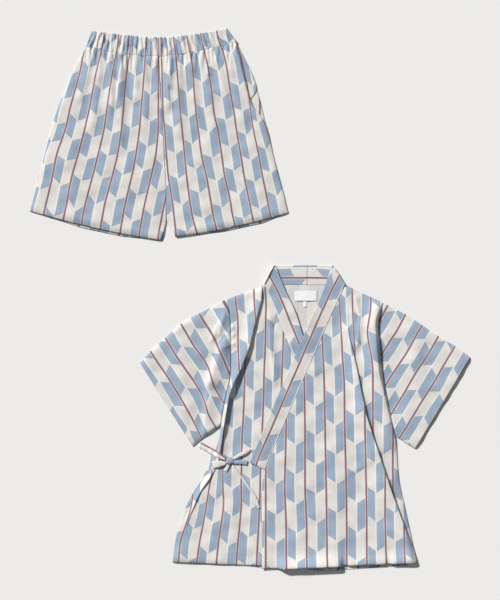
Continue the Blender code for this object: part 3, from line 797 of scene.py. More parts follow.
def lay_under_front():
    x, y, at, across = panel_places(RIGHT_FRONT, 190, 60, 90, NECK_LIP)
    to_side = across * np.hypot(x[:, -1:] - x[:, :1], y[:, -1:] - y[:, :1])
    share = front_height(x, y, at, to_side, RIGHT_FRONT)
    z = LAYER + CLOTH / 2 + (top_height(x, y) + lip_height(x, y, NECK_LIP)) * share
    aside = (x <= at_height(y, NECK_LIP, "x") + 0.01) & (y > -400)
    beside = cloth_place(x, y, UNDER_STRIPES_ASIDE, -3, 20, UNDER_PHASE)
    beyond = cloth_place(x, y, UNDER_STRIPES, -4, 20, UNDER_PHASE)
    points = np.stack([x, y, z], -1)
    sew("right_front_hem", line_above(points, HEM_DEPTH))
    return lay_cloth("right_front", points, np.where(aside[..., None], beside, beyond))


def lay_over_front():
    x, y, at, across = panel_places(LEFT_FRONT, 190, 90, 80, SLANTING_LIP)
    to_side = (1 - across) * np.hypot(x[:, -1:] - x[:, :1], y[:, -1:] - y[:, :1])
    share = front_height(x, y, at, to_side, LEFT_FRONT)
    height = (top_height(x, y) + lip_height(x, y, SLANTING_LIP)) * share
    height = height + armhole_height(y, to_side) + hem_height(x, y)
    z = LAYER + CLOTH / 2 + height + lift_over_under_layers(x, y)
    aside = x > at_height(y, SLANTING_LIP, "x") + 0.01
    beyond = cloth_place(x, y, OVER_STRIPES_ASIDE, 5, 220, OVER_PHASE)
    beside = cloth_place(x, y, OVER_STRIPES, 1, 220, OVER_PHASE)
    points = np.stack([x, y, z], -1)
    sew("left_front_hem", line_above(points, HEM_DEPTH))
    return lay_cloth("left_front", points, np.where(aside[..., None], beyond, beside))


under_front = lay_under_front()
put_on(under_front, "right_front")
over_front = lay_over_front()
put_on(over_front, "left_front")

# The sleeves: one piece each, folded along the top and sewn below into a short wide tube. Its grain runs
# round the arm, so the stripes lie parallel to the cuff and the feathers point away from the shoulder.
RIGHT_SLEEVE = table(
    "top_x top_y low_x low_y",
    [
        (-59, 0, -72, -297),
        (-96, -20, -84, -304),
        (-157, -53, -101, -317),
        (-195, -86, -113, -326),
        (-234, -121, -126, -336),
        (-258, -148, -135, -343),
    ],
)
LEFT_SLEEVE = table(
    "top_x top_y low_x low_y",
    [
        (313, -7, 343, -320),
        (365, -34, 354, -327),
        (439, -83, 369, -337),
        (483, -110, 379, -343),
        (517, -135, 387, -348),
    ],
)
# A sleeve's print is measured from the stripe nearest the cuff, where that meets the fold at the top: y is
# the way up along that stripe and across it lie the others.
RIGHT_SLEEVE_STRIPES = table(
    "y r s t u v",
    [
        (40, -207, -143, -94, -46, 0),
        (0, -206, -143, -94, -46, 0),
        (-30, -204, -146, -94, -47, -2),
        (-60, -204, -143, -98, -49, -5),
        (-85, -204, -140, -100, -52, -6),
        (-110, -204, -137, -97, -54, -7),
        (-135, -204, -133, -88, -55, -7),
        (-160, -204, -132, -88, -53, -7),
        (-190, -204, -132, -90, -43, -6),
        (-230, -204, -132, -90, -45, -3),
    ],
)
LEFT_SLEEVE_STRIPES = table(
    "y v u t s r",
    [
        (30, 1, 47, 93, 140, 187),
        (-30, 2, 46, 93, 137, 184),
        (-60, 2, 47, 91, 139, 186),
        (-90, 1, 50, 93, 140, 187),
        (-150, 4, 49, 96, 141, 188),
        (-240, 5, 51, 96, 141, 188),
    ],
)
SLEEVE_CUT = {
    "right_sleeve": {
        "from": (-230.3, -126), "way": (0.496, -0.868), "first": -4, "phase": 0.387, "repeat": 132,
    },
    "left_sleeve": {
        "from": (479.4, -114), "way": (-0.504, -0.863), "first": 0, "phase": 0.418, "repeat": 134,
    },
}
SEAM_TILT = 0.9
FOLD_ROLL = 9


def lay_sleeve(name, rows, front_rows, stripes, outward):
    """Sections run from the fold at the top down to the seam, and back behind it. The first follows the
    armhole, the last the cuff, and those between pass from one to the other."""
    count, half = 76, 84
    edge = smooth_edge(front_rows, "side", 240)
    edge = edge[edge[:, 1] >= rows["low_y"][0]] + (outward * SEAM_TILT, 0)
    run = np.concatenate([[0], np.cumsum(np.hypot(*np.diff(edge, axis=0).T))])
    run /= run[-1]
    down = 0.5 - 0.5 * np.cos(np.pi * np.linspace(0, 1, half))
    around = np.concatenate([down, down[-2:0:-1]])
    t = stations(rows, count)[:, None] / (len(rows) - 1)
    top_x, top_y, low_x, low_y = (smooth(rows[key], t * (len(rows) - 1)) for key in rows.dtype.names)
    arm_x = np.interp(around, run, edge[:, 0])
    arm_y = np.interp(around, run, edge[:, 1])
    top_x[0], top_y[0], low_x[0], low_y[0] = *edge[0], *edge[-1]
    fade = 1 - ramp(t)
    x = top_x + (low_x - top_x) * around + (arm_x - edge[0, 0] - (low_x[0] - edge[0, 0]) * around) * fade
    y = top_y + (low_y - top_y) * around + (arm_y - edge[0, 1] - (low_y[0] - edge[0, 1]) * around) * fade
    width = np.hypot(low_x - top_x, low_y - top_y)
    to_fold = np.minimum(around, 1 - around) * width
    to_armhole = t * np.abs(top_x[-1] - top_x[0])
    gap = LAYER + top_height(x, y) * roll(to_armhole, 20, 0.5)
    is_front = np.arange(len(around)) < half
    under_gap = 0.5 * gap * (1 - roll(to_fold, 5, 0))
    z = CLOTH / 2 + np.where(is_front, gap * roll(to_fold, FOLD_ROLL, 0.5), under_gap)
    points = np.stack([x, y, z], -1)
    cut = SLEEVE_CUT[name]
    from_x = x - cut["from"][0]
    from_y = y - cut["from"][1]
    way_x, way_y = cut["way"]
    across = from_x * way_y - from_y * way_x
    along = from_x * way_x + from_y * way_y
    along = np.where(is_front, along, 2 * (from_x[:, :1] * way_x + from_y[:, :1] * way_y) - along)
    number = stripe_number(across, -along, stripes, cut["first"])
    place = np.stack([number, along / cut["repeat"] + cut["phase"]], -1)
    place = np.concatenate([place, place[:, :1]], 1)
    sew(name + "_cuff", line_above(points, HEM_DEPTH)[3 : half - 3])
    if outward > 0:
        points, place = points[::-1], place[::-1]
    return lay_cloth(name, points, place, ring=True)


for name, rows, front_rows, stripes, outward, held_by in (
    ("right_sleeve", RIGHT_SLEEVE, RIGHT_FRONT, RIGHT_SLEEVE_STRIPES, -1, "right_front"),
    ("left_sleeve", LEFT_SLEEVE, LEFT_FRONT, LEFT_SLEEVE_STRIPES, 1, "left_front"),
):
    sleeve = lay_sleeve(name, rows, front_rows, stripes, outward)
    put_on(sleeve, name)

# The collar: one long band of doubled cloth in two halves, sewn at the middle of the back. It lies flat
# behind the neck, turns over at the fold and runs down each front's edge, the wearer's left half over the
# right one.
LEFT_COLLAR = table(
    "seam_x seam_y free_x free_y turn",
    [
        (135.1, 35.4, 135.1, 82, 0.0),
        (170, 35.4, 160, 81.6, 0.0),
        (203, 35.4, 184, 81, 0.0),
        (220.5, 35.4, 192.5, 80.4, 0.08),
        (223, 37, 195, 82, 0.5),
        (220.5, 35.4, 192.5, 80.4, 0.92),
        (206, 0, 169, 15.6, 1.0),
        (180, -58, 143, -42, 1.0),
        (137, -157, 100.5, -141, 1.0),
        (85, -278, 49, -262, 1.0),
        (34.6, -398, -1, -381, 1.0),
    ],
)
RIGHT_COLLAR = table(
    "seam_x seam_y free_x free_y turn",
    [
        (134.9, 35.4, 134.9, 82, 0.0),
        (94, 35.4, 101, 81.6, 0.0),
        (54, 35.4, 68, 81, 0.0),
        (35.7, 35.6, 58.7, 80.6, 0.08),
        (33, 37, 56, 82, 0.5),
        (35.7, 35.6, 58.7, 80.6, 0.92),
        (47.7, 4, 84.3, 20.2, 1.0),
        (67, -44, 106, -27, 1.0),
        (100, -125, 134, -108.4, 1.0),
        (150.1, -220, 186.5, -203.4, 1.0),
        (199.7, -355, 238.6, -346, 1.0),
    ],
)
BAND_EDGE = 1.3
BAND_CROWN = 0.5
BAND_LIFT = 2.4
FOLD_RISE = 8
BACK_STRIPE_AT = 16.7
# Painted highlight: the width along each turned collar's seam that is coloured with the print's white gap,
# standing in for the lit ridge of the seam. The stripe_at values also place the print's own white gap next to
# the seam.
SEAM_HIGHLIGHT_WIDTH = 2.8
COLLAR_CUT = {
    "right_collar": {"stripe_at": 23, "way": -1, "phase": 0.094, "phase_behind": 0.509},
    "left_collar": {"stripe_at": 23.5, "way": 1, "phase": 0.259, "phase_behind": 0.539},
}


def section_round(width, thickness, count):
    """Distances across a flat band, over its top and back under it, and the heights that round its edges:
    a quarter circle at each edge, with a little crown between them."""
    t = np.linspace(0, 1, count)
    share = 0.5 - 0.5 * np.sign(np.cos(np.pi * t)) * np.abs(np.cos(np.pi * t)) ** 0.6
    to_edge = np.minimum(share, 1 - share) * width
    rise = thickness / 2 * np.sqrt(1 - (1 - np.clip(to_edge / BAND_EDGE, 0, 1)) ** 2)
    over = rise + BAND_CROWN * np.sin(np.pi * share) ** 2
    return np.concatenate([share, share[-2:0:-1]]), np.concatenate([over, -rise[-2:0:-1]])


def lay_collar(name, rows, front_rows, aside, over):
    """The band's section is carried down the table from the middle of the back. Its seam follows the front's
    own edge, and both of its ends close to a line."""
    at = np.concatenate(
        [[0], np.linspace(0.004, 2, 30)[:-1], np.linspace(2, 6, 60)[:-1], np.linspace(6, 10, 150)]
    )
    at = at[:, None]
    xa, ya, xb, yb, turn = (smooth(rows[key], at) for key in rows.dtype.names)
    edge = smooth_edge(front_rows, "front", 300)
    seam_x = np.interp(-ya, -edge[:, 1], edge[:, 0]) + aside * SEAM
    sewn = ramp((turn - 0.92) / 0.08)
    xa = xa + (seam_x - xa) * sewn
    share, rise = section_round(40, FOLDED, 26)
    x = xa + (xb - xa) * share
    y = ya + (yb - ya) * share
    height = LAYER + top_height(x, y)
    if over:
        height = height + lift_over_under_layers(x, y)
    closed = np.ones(at.shape)
    closed[[0, -1]] = 0
    standing = FOLD_RISE * 4 * turn * (1 - turn)
    free = BAND_LIFT * share**2 * (1 if over else ramp((y + 90) / 40))
    z = FOLDED / 2 + turn * (height + free) + standing + rise * closed
    width = np.hypot(xb - xa, yb - ya)
    middle_x, middle_y = (xa + xb) / 2, (ya + yb) / 2
    along_steps = np.hypot(np.diff(middle_x[:, 0]), np.diff(middle_y[:, 0]))
    run = np.concatenate([[0], np.cumsum(along_steps)])[:, None]
    cut = COLLAR_CUT[name]
    turned = turn > 0.5
    number = np.where(turned, share * width - cut["stripe_at"], BACK_STRIPE_AT - share * width) / COLUMN
    # Painted highlight: the first few millimetres from the seam take the print's white gap colour, standing
    # in for light on the seam's ridge.
    number = np.where(turned & (share * width < SEAM_HIGHLIGHT_WIDTH), -0.5, number)
    phase = np.where(turned, cut["phase"], cut["phase_behind"])
    place = np.stack(np.broadcast_arrays(number, cut["way"] * run / REPEAT + phase), -1)
    place = np.concatenate([place, place[:, :1]], 1)
    points = np.stack(np.broadcast_arrays(x, y, z), -1)
    sew(name + "_edge", points[at[:, 0] > 6.2, 5][:-2])
    if aside > 0:
        return lay_cloth(name, points, place, thickness=0, ring=True)
    return lay_cloth(name, points[::-1], place[::-1], thickness=0, ring=True)


for name, rows, front_rows, aside, over in (
    ("right_collar", RIGHT_COLLAR, RIGHT_FRONT, 1, False),
    ("left_collar", LEFT_COLLAR, LEFT_FRONT, -1, True),
):
    collar = lay_collar(name, rows, front_rows, aside, over)
    put_on(collar, name)

# The neck label and the size tab below it: bare woven tape, caught to the back by its ends.
NECK_LABEL = {"left": 105, "right": 157, "top": 21, "bottom": -2}
SIZE_TAB = {"left": 125, "right": 133, "top": -2.4, "bottom": -16}
TAPE_WHITE = (0.81, 0.81, 0.85)
tape = cotton("woven_tape", tint=TAPE_WHITE)


def lay_tape(name, size, belly):
    """A flat strip that stands up a little in its middle, where it isn't caught down."""
    s = np.linspace(0, 1, 40)
    t = np.linspace(0, 1, 24)[:, None]
    x = size["left"] + (size["right"] - size["left"]) * s
    y = size["top"] + (size["bottom"] - size["top"]) * t
    z = LAYER + 0.4 + belly * np.sin(np.pi * s) * (0.35 + 0.65 * t)
    points = np.stack(np.broadcast_arrays(x, y, z), -1)
    place = np.stack(np.broadcast_arrays(x / COLUMN, y / REPEAT), -1)
    piece = lay_cloth(name, points, place, thickness=0.5)
    piece.data.materials.clear()
    piece.data.materials.append(tape)
    piece.modifiers["wall"].material_offset = 0
    return piece


for name, size, belly in (("neck_label", NECK_LABEL, 1.6), ("size_tab", SIZE_TAB, 0.8)):
    strip = lay_tape(name, size, belly)
    put_on(strip, name)

# The ties: narrow straps of the same cotton, folded and sewn. The under strap comes from the side, a short
# one from the over collar's end, and they are tied in a half bow on the wearer's right.
SIDE_TIE_STRAP = table(
    "x y lift width",
    [(-56.4, -372.6, 3.2, 8), (-80, -360, 2.2, 13), (-104, -347, 1.2, 13), (-118, -340, 0.4, 13)],
)
TIE_LOOP = table(
    "x y lift width",
    [(-56.4, -382, 3.0, 7), (-66, -383, 3.4, 12), (-77, -384, 4.2, 16), (-88, -386, 1.4, 17)],
)
TIE_EAR = table(
    "x y lift width",
    [(-39.4, -372.2, 3.2, 6), (-24, -363, 3.8, 8), (-10, -356, 3.0, 9), (2, -350, 1.0, 4)],
)
FRONT_TIE_LEAD = table(
    "x y lift width",
    [(-38.4, -380.5, 2.6, 7.5), (-22, -379.5, 1.6, 10), (-6, -382, 1.0, 11)],
)
TIE_END = table("x y lift width", [(-50.6, -386.2, 2.6, 7), (-54, -394, 1.0, 8), (-58, -401, 0.5, 8)])
TIE_TAIL = table(
    "x y lift width",
    [
        (-41, -387, 1.4, 4.5),
        (-19, -417, 1.2, 4),
        (-5, -437, 0.9, 5),
        (7, -454, 0.8, 7),
        (15, -471, 0.7, 8),
        (21, -489, 0.4, 5),
    ],
)
TIES = {
    "side_tie_strap": (SIDE_TIE_STRAP, -0.03, 0.60),
    "tie_loop": (TIE_LOOP, 0.12, 0.60),
    "tie_ear": (TIE_EAR, 0.12, 0.60),
    "front_tie_lead": (FRONT_TIE_LEAD, 0.12, 0.1),
    "tie_end": (TIE_END, 0.12, 0.60),
    "tie_tail": (TIE_TAIL, 0.12, 0.60),
}
TIE_REPEAT = 400
KNOT = {"x": -47.5, "y": -377, "lift": 0.5, "length": 18, "width": 17, "height": 8}


def rest_height(x, y):
    """How high the top's cloth reaches at the tied side, and beyond its edge down to the surface below."""
    side = np.interp(-y, -RIGHT_FRONT["side_y"], RIGHT_FRONT["side_x"])
    on_cloth = top_height(x, y) * roll(np.maximum(x - side, 0), SIDE_ROLL, 0.1)
    return (LAYER + CLOTH) * ramp((x - side) / 10 + 1.4) + on_cloth * (x > side)


def lay_tie(name, rows, stripe_from, phase):
    """A flat rounded section carried along the strap's middle line, with a shallow groove down its middle
    where the folded edges meet, and both ends drawn in to a line."""
    at = np.linspace(0, len(rows) - 1, 60)
    x, y, lift, width = (smooth(rows[key], at)[:, None] for key in rows.dtype.names)
    way_x, way_y = np.gradient(x[:, 0])[:, None], np.gradient(y[:, 0])[:, None]
    length = np.hypot(way_x, way_y)
    share, rise = section_round(8, FOLDED, 12)
    side = share - 0.5
    px = x - way_y / length * width * side
    py = y + way_x / length * width * side
    edges = np.array([-0.5, 0.5])
    edge_x = x - way_y / length * width * edges
    edge_y = y + way_x / length * width * edges
    ground = rest_height(edge_x, edge_y).max(1)[:, None]
    ends = np.sqrt(np.clip(np.minimum(at, at[-1] - at)[:, None] * 14, 0, 1))
    pucker = 0.35 * np.sin(at[:, None] * 9 + side * 5) * (rise > 0)
    groove = 0.5 * np.exp(-((side / 0.08) ** 2)) * (rise > 0)
    pz = ground + SEAM + lift + FOLDED / 2 + (rise + pucker - groove) * ends
    run = np.concatenate([[0], np.cumsum(np.hypot(np.diff(x[:, 0]), np.diff(y[:, 0])))])[:, None]
    place = np.stack(np.broadcast_arrays(stripe_from + share * width / COLUMN, phase + run / TIE_REPEAT), -1)
    place = np.concatenate([place, place[:, :1]], 1)
    return lay_cloth(name, np.stack([px, py, pz], -1), place, thickness=0, ring=True)


for name, (rows, stripe_from, phase) in TIES.items():
    put_on(lay_tie(name, rows, stripe_from, phase), name)


def lay_knot():
    """A wad of folded strap: a rounded block whose height and outline are creased by the turns round it."""
    t = np.linspace(0, 1, 40)[:, None] * np.pi
    s = np.linspace(0, 2, 64, endpoint=False) * np.pi
    creases = 1 + 0.07 * np.sin(3 * s + 2 * t) - 0.10 * np.exp(-((np.sin(s - 0.9) / 0.22) ** 2)) * np.sin(t)
    around = [np.sign(part) * np.abs(part) ** 0.75 for part in (np.cos(s), np.sin(s))]
    ring = np.sin(t) ** 0.8 * creases
    middle = rest_height(np.array(KNOT["x"]), np.array(KNOT["y"])) + SEAM + KNOT["lift"] + KNOT["height"] / 2
    x = KNOT["x"] + KNOT["length"] / 2 * ring * around[0]
    y = KNOT["y"] + KNOT["width"] / 2 * ring * around[1]
    z = middle + KNOT["height"] / 2 * np.sign(np.cos(t)) * np.abs(np.cos(t)) ** 0.8 + 0 * s
    place = np.stack(np.broadcast_arrays(0.15 + 0.2 * np.sin(s), 0.1 + t / 20), -1)
    place = np.concatenate([place, place[:, :1]], 1)
    return lay_cloth("tie_knot", np.stack([x, y, z], -1), place, thickness=0, ring=True)


put_on(lay_knot(), "tie_knot")

# The shorts' backs: two flat panels under the fronts, their outer sides down. Their hems show a little
# below the fronts' and their sides beyond the pockets' mouths.
SHORTS_RIGHT_BACK = (
    (-197, 262), (-196.4, 188), (-207, 137), (-303, 147), (-394, 166), (-518, 206), (-490, 315),
    (-459, 432), (-430, 503),
)
SHORTS_LEFT_BACK = (
    (9, 524), (26, 461), (56, 335), (75, 268), (91, 203), (33, 178), (-59, 158), (-125, 150),
    (-175, 146), (-194.6, 188), (-196, 262),
)
SHORTS_CENTRE = -213.2
HEM_DRAWN_UP = 2.5
WAIST_TOP = table("x y", [(-371, 631), (-294, 622), (-213, 616), (-134, 623), (-54, 637)])
WAIST_SEAM = table("x y", [(-386, 595), (-315, 580), (-214, 572), (-82, 593), (-29, 605)])


def waist_seam(x):
    """The waist seam's place in Y, which the gathers make uneven."""
    at = np.linspace(0, len(WAIST_SEAM) - 1, 80)
    even = np.interp(x, smooth(WAIST_SEAM["x"], at), smooth(WAIST_SEAM["y"], at))
    return even + 1.1 * np.sin(x / 3.1) * np.sin(x / 17) + 0.8 * np.sin(x / 7.3 + 1)


def evenly(line, share):
    """Places along a line, evenly spaced in X."""
    at = np.linspace(0, len(line) - 1, 80)
    x = line["x"][0] + share * np.ptp(line["x"])
    return x, np.interp(x, smooth(line["x"], at), smooth(line["y"], at))


def edge_at(points, y):
    """Where an edge, given as points, runs in X at this Y."""
    ordered = np.array(sorted(points, key=lambda point: -point[1]), float)
    return np.interp(-y, -ordered[:, 1], ordered[:, 0])


def lay_leg_back(name, outer, inner, hem, waist):
    """Rows run across from the left edge to the right one. Their spacing follows the waist and the hem."""
    s = np.linspace(0, 1, 60)
    t = np.linspace(0, 1, 90)[:, None]
    low = np.array(sorted(hem), float)
    hem_y = np.interp(low[0, 0] + (low[-1, 0] - low[0, 0]) * s, low[:, 0], low[:, 1]) + HEM_DRAWN_UP
    top_x = waist[0] + (waist[1] - waist[0]) * s
    top_y = waist_seam(top_x) - SEAM_TILT
    y = top_y + (hem_y - top_y) * t
    left_x, right_x = edge_at(outer, y), edge_at(inner, y)
    x = left_x + (right_x - left_x) * s
    z = np.full(x.shape, CLOTH / 2)
    place = np.stack([-(x - SHORTS_CENTRE) / COLUMN, y / REPEAT], -1)
    to_side = np.minimum(x - left_x, right_x - x)
    turned = (y < hem_y + HEM_DEPTH) | (to_side < HEM_DEPTH)
    piece = lay_cloth(name, np.stack([x, y, z], -1)[:, ::-1], place[:, ::-1], turned=turned[:, ::-1])
    put_on(piece, name)


lay_leg_back(
    "shorts_right_back",
    [(-385, 595), *SHORTS_RIGHT_BACK[5:]],
    [(SHORTS_CENTRE - SEAM, 600), (SHORTS_CENTRE - SEAM, 420), *SHORTS_RIGHT_BACK[:3]],
    SHORTS_RIGHT_BACK[2:6],
    (-385, SHORTS_CENTRE - SEAM),
)
lay_leg_back(
    "shorts_left_back",
    [(SHORTS_CENTRE + SEAM, 600), (SHORTS_CENTRE + SEAM, 420), *SHORTS_LEFT_BACK[8:]],
    [(-30, 603), *SHORTS_LEFT_BACK[:5]],
    SHORTS_LEFT_BACK[4:9],
    (SHORTS_CENTRE + SEAM, -30),
)

# The shorts' fronts: two panels that hang from the gathered waist, joined at the centre seam. The gathers at
# the seam die out into folds that fan down the legs.
SHORTS_RIGHT_FRONT = table(
    "side_x side_y inner_x inner_y seat",
    [
        (-384, 592, -213.6, 570, 0.8),
        (-408, 547, -211.5, 520, 0.8),
        (-429, 503, -208, 460, 0.8),
        (-458, 432, -204, 395, 0.0),
        (-475, 371, -200.5, 330, 0.0),
        (-489, 315, -197, 262, 0.0),
        (-500, 272, -196.6, 215, 0.0),
        (-505, 254, -196.6, 188, 0.0),
        (-517, 209, -209, 140, 0.2),
    ],
)
SHORTS_LEFT_FRONT = table(
    "side_x side_y inner_x inner_y seat",
    [
        (-31, 602, -213, 570, 0.8),
        (-16, 540, -211, 520, 0.8),
        (2, 468, -207.5, 460, 0.8),
        (38, 410, -203.5, 395, 0.0),
        (56, 335, -200, 330, 0.0),
        (74, 268, -196.4, 262, 0.0),
        (82, 238, -196, 215, 0.0),
        (84, 228, -195, 188, 0.0),
        (90, 205, -174, 148, 0.2),
    ],
)
SHORTS_FOLDS = table(
    "from_x from_y to_x to_y height left right bow",
    [
        (-366, 590, -400, 470, 3.4, 9, 11, 0),
        (-346, 586, -372, 400, 3.2, 10, 13, 0),
        (-322, 582, -326, 440, 4.6, 8, 12, 0),
        (-304, 588, -309, 478, 6.5, 12, 3, 0),
        (-188, 572, -191, 500, 6.0, 12, 3, 0),
        (-100, 550, -98, 528, 3.0, 8, 3, 0),
        (-296, 579, -306, 360, 3.2, 10, 14, 0),
        (-270, 576, -266, 470, 3.0, 9, 11, 0),
        (-244, 574, -246, 420, 3.0, 10, 12, 0),
        (-222, 574, -216, 480, 3.2, 8, 11, 0),
        (-196, 574, -190, 450, 4.6, 8, 12, 0),
        (-170, 576, -166, 380, 3.2, 10, 13, 0),
        (-142, 580, -126, 440, 3.0, 9, 11, 0),
        (-112, 586, -84, 390, 3.4, 10, 13, 0),
        (-84, 590, -48, 460, 3.0, 9, 12, 0),
        (-56, 594, -14, 400, 3.2, 10, 13, 0),
        (-430, 380, -400, 190, 2.2, 20, 22, 0),
        (-290, 330, -300, 160, 2.2, 22, 24, 0),
        (-120, 330, -100, 160, 2.2, 22, 24, 0),
        (-20, 330, 10, 190, 2.2, 20, 22, 0),
        (-500, 214, -220, 148, 1.8, 14, 14, 0),
        (-170, 154, 84, 210, 2.4, 14, 14, 0),
    ],
)
SHORTS_RIGHT_STRIPES = table(
    "y a b c d e f",
    [
        (620, -380, -342, -308, -278, -243, -215),
        (592, -388, -346, -311, -280, -244, -215),
        (529, -400, -362, -323, -290, -248, -215),
        (451, -422, -376, -335, -297, -255, -215),
        (400, -433, -388, -342, -301, -259, -215),
        (338, -455, -404, -357, -311, -268, -221),
        (291, -463, -418, -369, -323, -277, -232),
        (221, -480, -431, -388, -342, -294, -248),
        (150, -494, -446, -400, -354, -306, -261),
    ],
)
SHORTS_LEFT_STRIPES = table(
    "y g h i j k l m",
    [
        (620, -209, -181, -149, -116, -78, -38, -5),
        (583, -208, -175, -141, -107, -63, -24, 2),
        (550, -207, -172, -135, -99, -55, -14, 9),
        (489, -205, -167, -131, -90, -46, -3, 19),
        (432, -204, -163, -126, -84, -36, 3, 28),
        (400, -200, -159, -122, -75, -32, 8, 38),
        (338, -196, -153, -114, -66, -21, 21, 61),
        (291, -192, -149, -102, -60, -14, 29, 73),
        (244, -184, -143, -94, -48, -4, 39, 85),
        (197, -178, -136, -86, -41, 5, 48, 94),
        (141, -172, -120, -73, -26, 19, 63, 110),
    ],
)
SHORTS_LOFT = 2.6
SHORTS_HEM_HANG = 6
GATHERS = 30
GATHER_DEPTH = 2.0
GATHER_REACH = 32
SHORTS_REPEAT = 123.0
SHORTS_PHASES = {"shorts_right_front": 0.806, "shorts_left_front": 0.783}


POCKET_EDGE = table(
    "y height",
    [(620, 0), (604, 3), (570, 6), (510, 6), (478, 4), (455, 0), (100, 0)],
)


def shorts_height(x, y):
    return np.maximum(SHORTS_LOFT + fold_heights(x, y, SHORTS_FOLDS) + rumple(x, y), 0.6)


def gather_wave(around, down):
    """The gathers' height, from about -1 to 1: waves along the casing, here crowded and there drawn apart,
    with smaller ones that cross them on a slant. Down is 0 at the casing's top and 1 at its seam."""
    crowding = 0.9 * np.sin(20.7 * around) + 0.5 * np.sin(44.6 * around + 1)
    strength = 0.75 + 0.25 * np.sin(26 * around + 1)
    main = strength * np.cos(2 * np.pi * GATHERS * around + crowding + 0.6 * down)
    rising = np.sin(2 * np.pi * GATHERS * 0.61 * around + 5 * down + 2 * np.sin(9 * around))
    falling = np.sin(2 * np.pi * GATHERS * 1.37 * around - 7 * down + 3 * np.sin(13 * around))
    fine = np.sin(2 * np.pi * GATHERS * 2.3 * around + 4 * np.sin(6 * down) + 2 * np.sin(31 * around))
    return main + 0.4 * rising + 0.3 * falling + 0.22 * fine


def lay_leg_front(name, rows, stripes, first):
    """Sections run from the side to the centre seam and the inner leg. The lowest hang in a shallow bow."""
    count, columns = 150, 110
    s = np.linspace(0, 1, columns)
    at = stations(rows, count)[:, None]
    xa, ya, xb, yb = (smooth(rows[key], at) for key in rows.dtype.names[:4])
    x = xa + (xb - xa) * s
    y = ya + (yb - ya) * s
    y = y - s * (1 - s) * 4 * SHORTS_HEM_HANG * ramp(at / (len(rows) - 1) * 3 - 2)
    y = y + (waist_seam(x[:1]) - SEAM - y[:1]) * (1 - ramp(at / 2))
    to_side = s * np.hypot(xb - xa, yb - ya)
    seat = np.clip(smooth(rows["seat"], at), 0, 1)
    around = (x - WAIST_SEAM["x"][0]) / np.ptp(WAIST_SEAM["x"])
    below_seam = waist_seam(x) - y
    gathers = gather_wave(around, 1 + below_seam / 60)
    wave = GATHER_DEPTH * gathers * np.exp(-((below_seam / GATHER_REACH) ** 2))
    run = run_down(x, y)
    share = roll(to_side, SIDE_ROLL, seat) * roll(run[-1] - run, SIDE_ROLL, 0.35)
    rise = 0
    if name == "shorts_left_front":
        inward = np.where(to_side > 3, np.exp(-(((to_side - 3) / 12) ** 2)), to_side / 3)
        rise = at_height(y, POCKET_EDGE, "height") * inward
    z = LAYER + CLOTH / 2 + np.maximum((shorts_height(x, y) + wave) * share, 0) + rise
    place = cloth_place(x, y, stripes, first, SHORTS_CENTRE, SHORTS_PHASES[name], SHORTS_REPEAT)
    points = np.stack([x, y, z], -1)
    sew(name + "_hem", line_above(points, HEM_DEPTH))
    sew(name + "_pocket_mouth", points[(at[:, 0] > 0.1) & (at[:, 0] < 2.4), 3] + (0, 0, SHELL / 2))
    if xa[0] > xb[0]:
        points, place = points[:, ::-1], place[:, ::-1]
    piece = lay_cloth(name, points, place)
    put_on(piece, name)


lay_leg_front("shorts_right_front", SHORTS_RIGHT_FRONT, SHORTS_RIGHT_STRIPES, 1)
lay_leg_front("shorts_left_front", SHORTS_LEFT_FRONT, SHORTS_LEFT_STRIPES, 7)

# The waistband: a casing over elastic, drawn up into gathers all round. Its upper edge is a fold and its
# lower one is sewn to the legs.
WAIST_DEPTH = 5.0
BAND_PHASE = 0.8
CASING_STITCH = 4


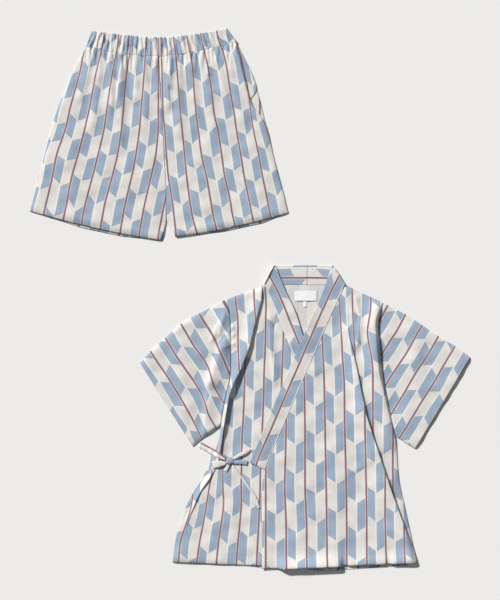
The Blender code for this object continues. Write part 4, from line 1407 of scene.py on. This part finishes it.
def lay_waistband():
    """A flattened ring. Both sides stand in the same gathers, which are deepest between the two sewn
    edges."""
    half = 480
    front = np.linspace(0, 1, half)
    around = np.concatenate([front, front[-2:0:-1]])
    down = np.linspace(0, 1, 22)[:, None]
    top, seam = (evenly(line, around) for line in (WAIST_TOP, WAIST_SEAM))
    is_front = np.arange(len(around)) < half
    wave = gather_wave(around, down)
    x = top[0] + (seam[0] - top[0]) * down
    y = top[1] + (seam[1] - top[1]) * down + 0.8 * wave * (1 - down) ** 4
    y = y + (waist_seam(x) - seam[1]) * down**3
    swell = 0.45 + 0.55 * np.sin(np.pi * down) ** 0.6
    to_fold = np.minimum(around, 1 - around) * np.ptp(top[0])
    upper = WAIST_DEPTH * roll(to_fold, FOLD_ROLL, 0.5) + GATHER_DEPTH * wave * swell * roll(to_fold, 6, 0)
    lower = 0.5 * WAIST_DEPTH * (1 - roll(to_fold, 5, 0))
    z = CLOTH / 2 + np.where(is_front, upper, lower)
    right_leg = stripe_number(x, y, SHORTS_RIGHT_STRIPES, 1)
    left_leg = stripe_number(x, y, SHORTS_LEFT_STRIPES, 7)
    number = np.where(x < SHORTS_CENTRE, right_leg, left_leg)
    place = np.stack([number, y / SHORTS_REPEAT + BAND_PHASE], -1)
    place = np.concatenate([place, place[:, :1]], 1)
    points = np.stack([x, y, z], -1)
    sew("waistband", line_above(points, CASING_STITCH)[4 : half - 4])
    return lay_cloth("waistband", points, place, ring=True)


waistband = lay_waistband()
put_on(waistband, "waistband")

# The pockets: the facings that show in the side seams' openings, under the fronts' edges.
RIGHT_POCKET = table(
    "side_x side_y inner_x inner_y",
    [(-387, 590, -374, 587), (-408, 549, -393, 545), (-426, 513, -411, 508)],
)
LEFT_POCKET = table(
    "side_x side_y inner_x inner_y",
    [(-29, 600, -40, 597), (7, 526, -26, 526), (16, 496, -16, 492), (0, 470, -14, 468)],
)


def lay_pocket(name, rows, stripes, first):
    s = np.linspace(0, 1, 14)
    at = stations(rows, 40)[:, None]
    xa, ya, xb, yb = (smooth(rows[key], at) for key in rows.dtype.names[:4])
    x = xa + (xb - xa) * s
    y = ya + (yb - ya) * s
    z = LAYER + CLOTH / 2 + 0.3 * np.sin(np.pi * s) * np.sin(np.pi * at / (len(rows) - 1))
    place = cloth_place(x, y, stripes, first, SHORTS_CENTRE, 0.0, SHORTS_REPEAT)
    points = np.stack([x, y, z], -1)
    if xa[0, 0] > xb[0, 0]:
        points, place = points[:, ::-1], place[:, ::-1]
    piece = lay_cloth(name, points, place)
    put_on(piece, name)


lay_pocket("right_pocket", RIGHT_POCKET, SHORTS_RIGHT_STRIPES, 1)
lay_pocket("left_pocket", LEFT_POCKET, SHORTS_LEFT_STRIPES, 7)
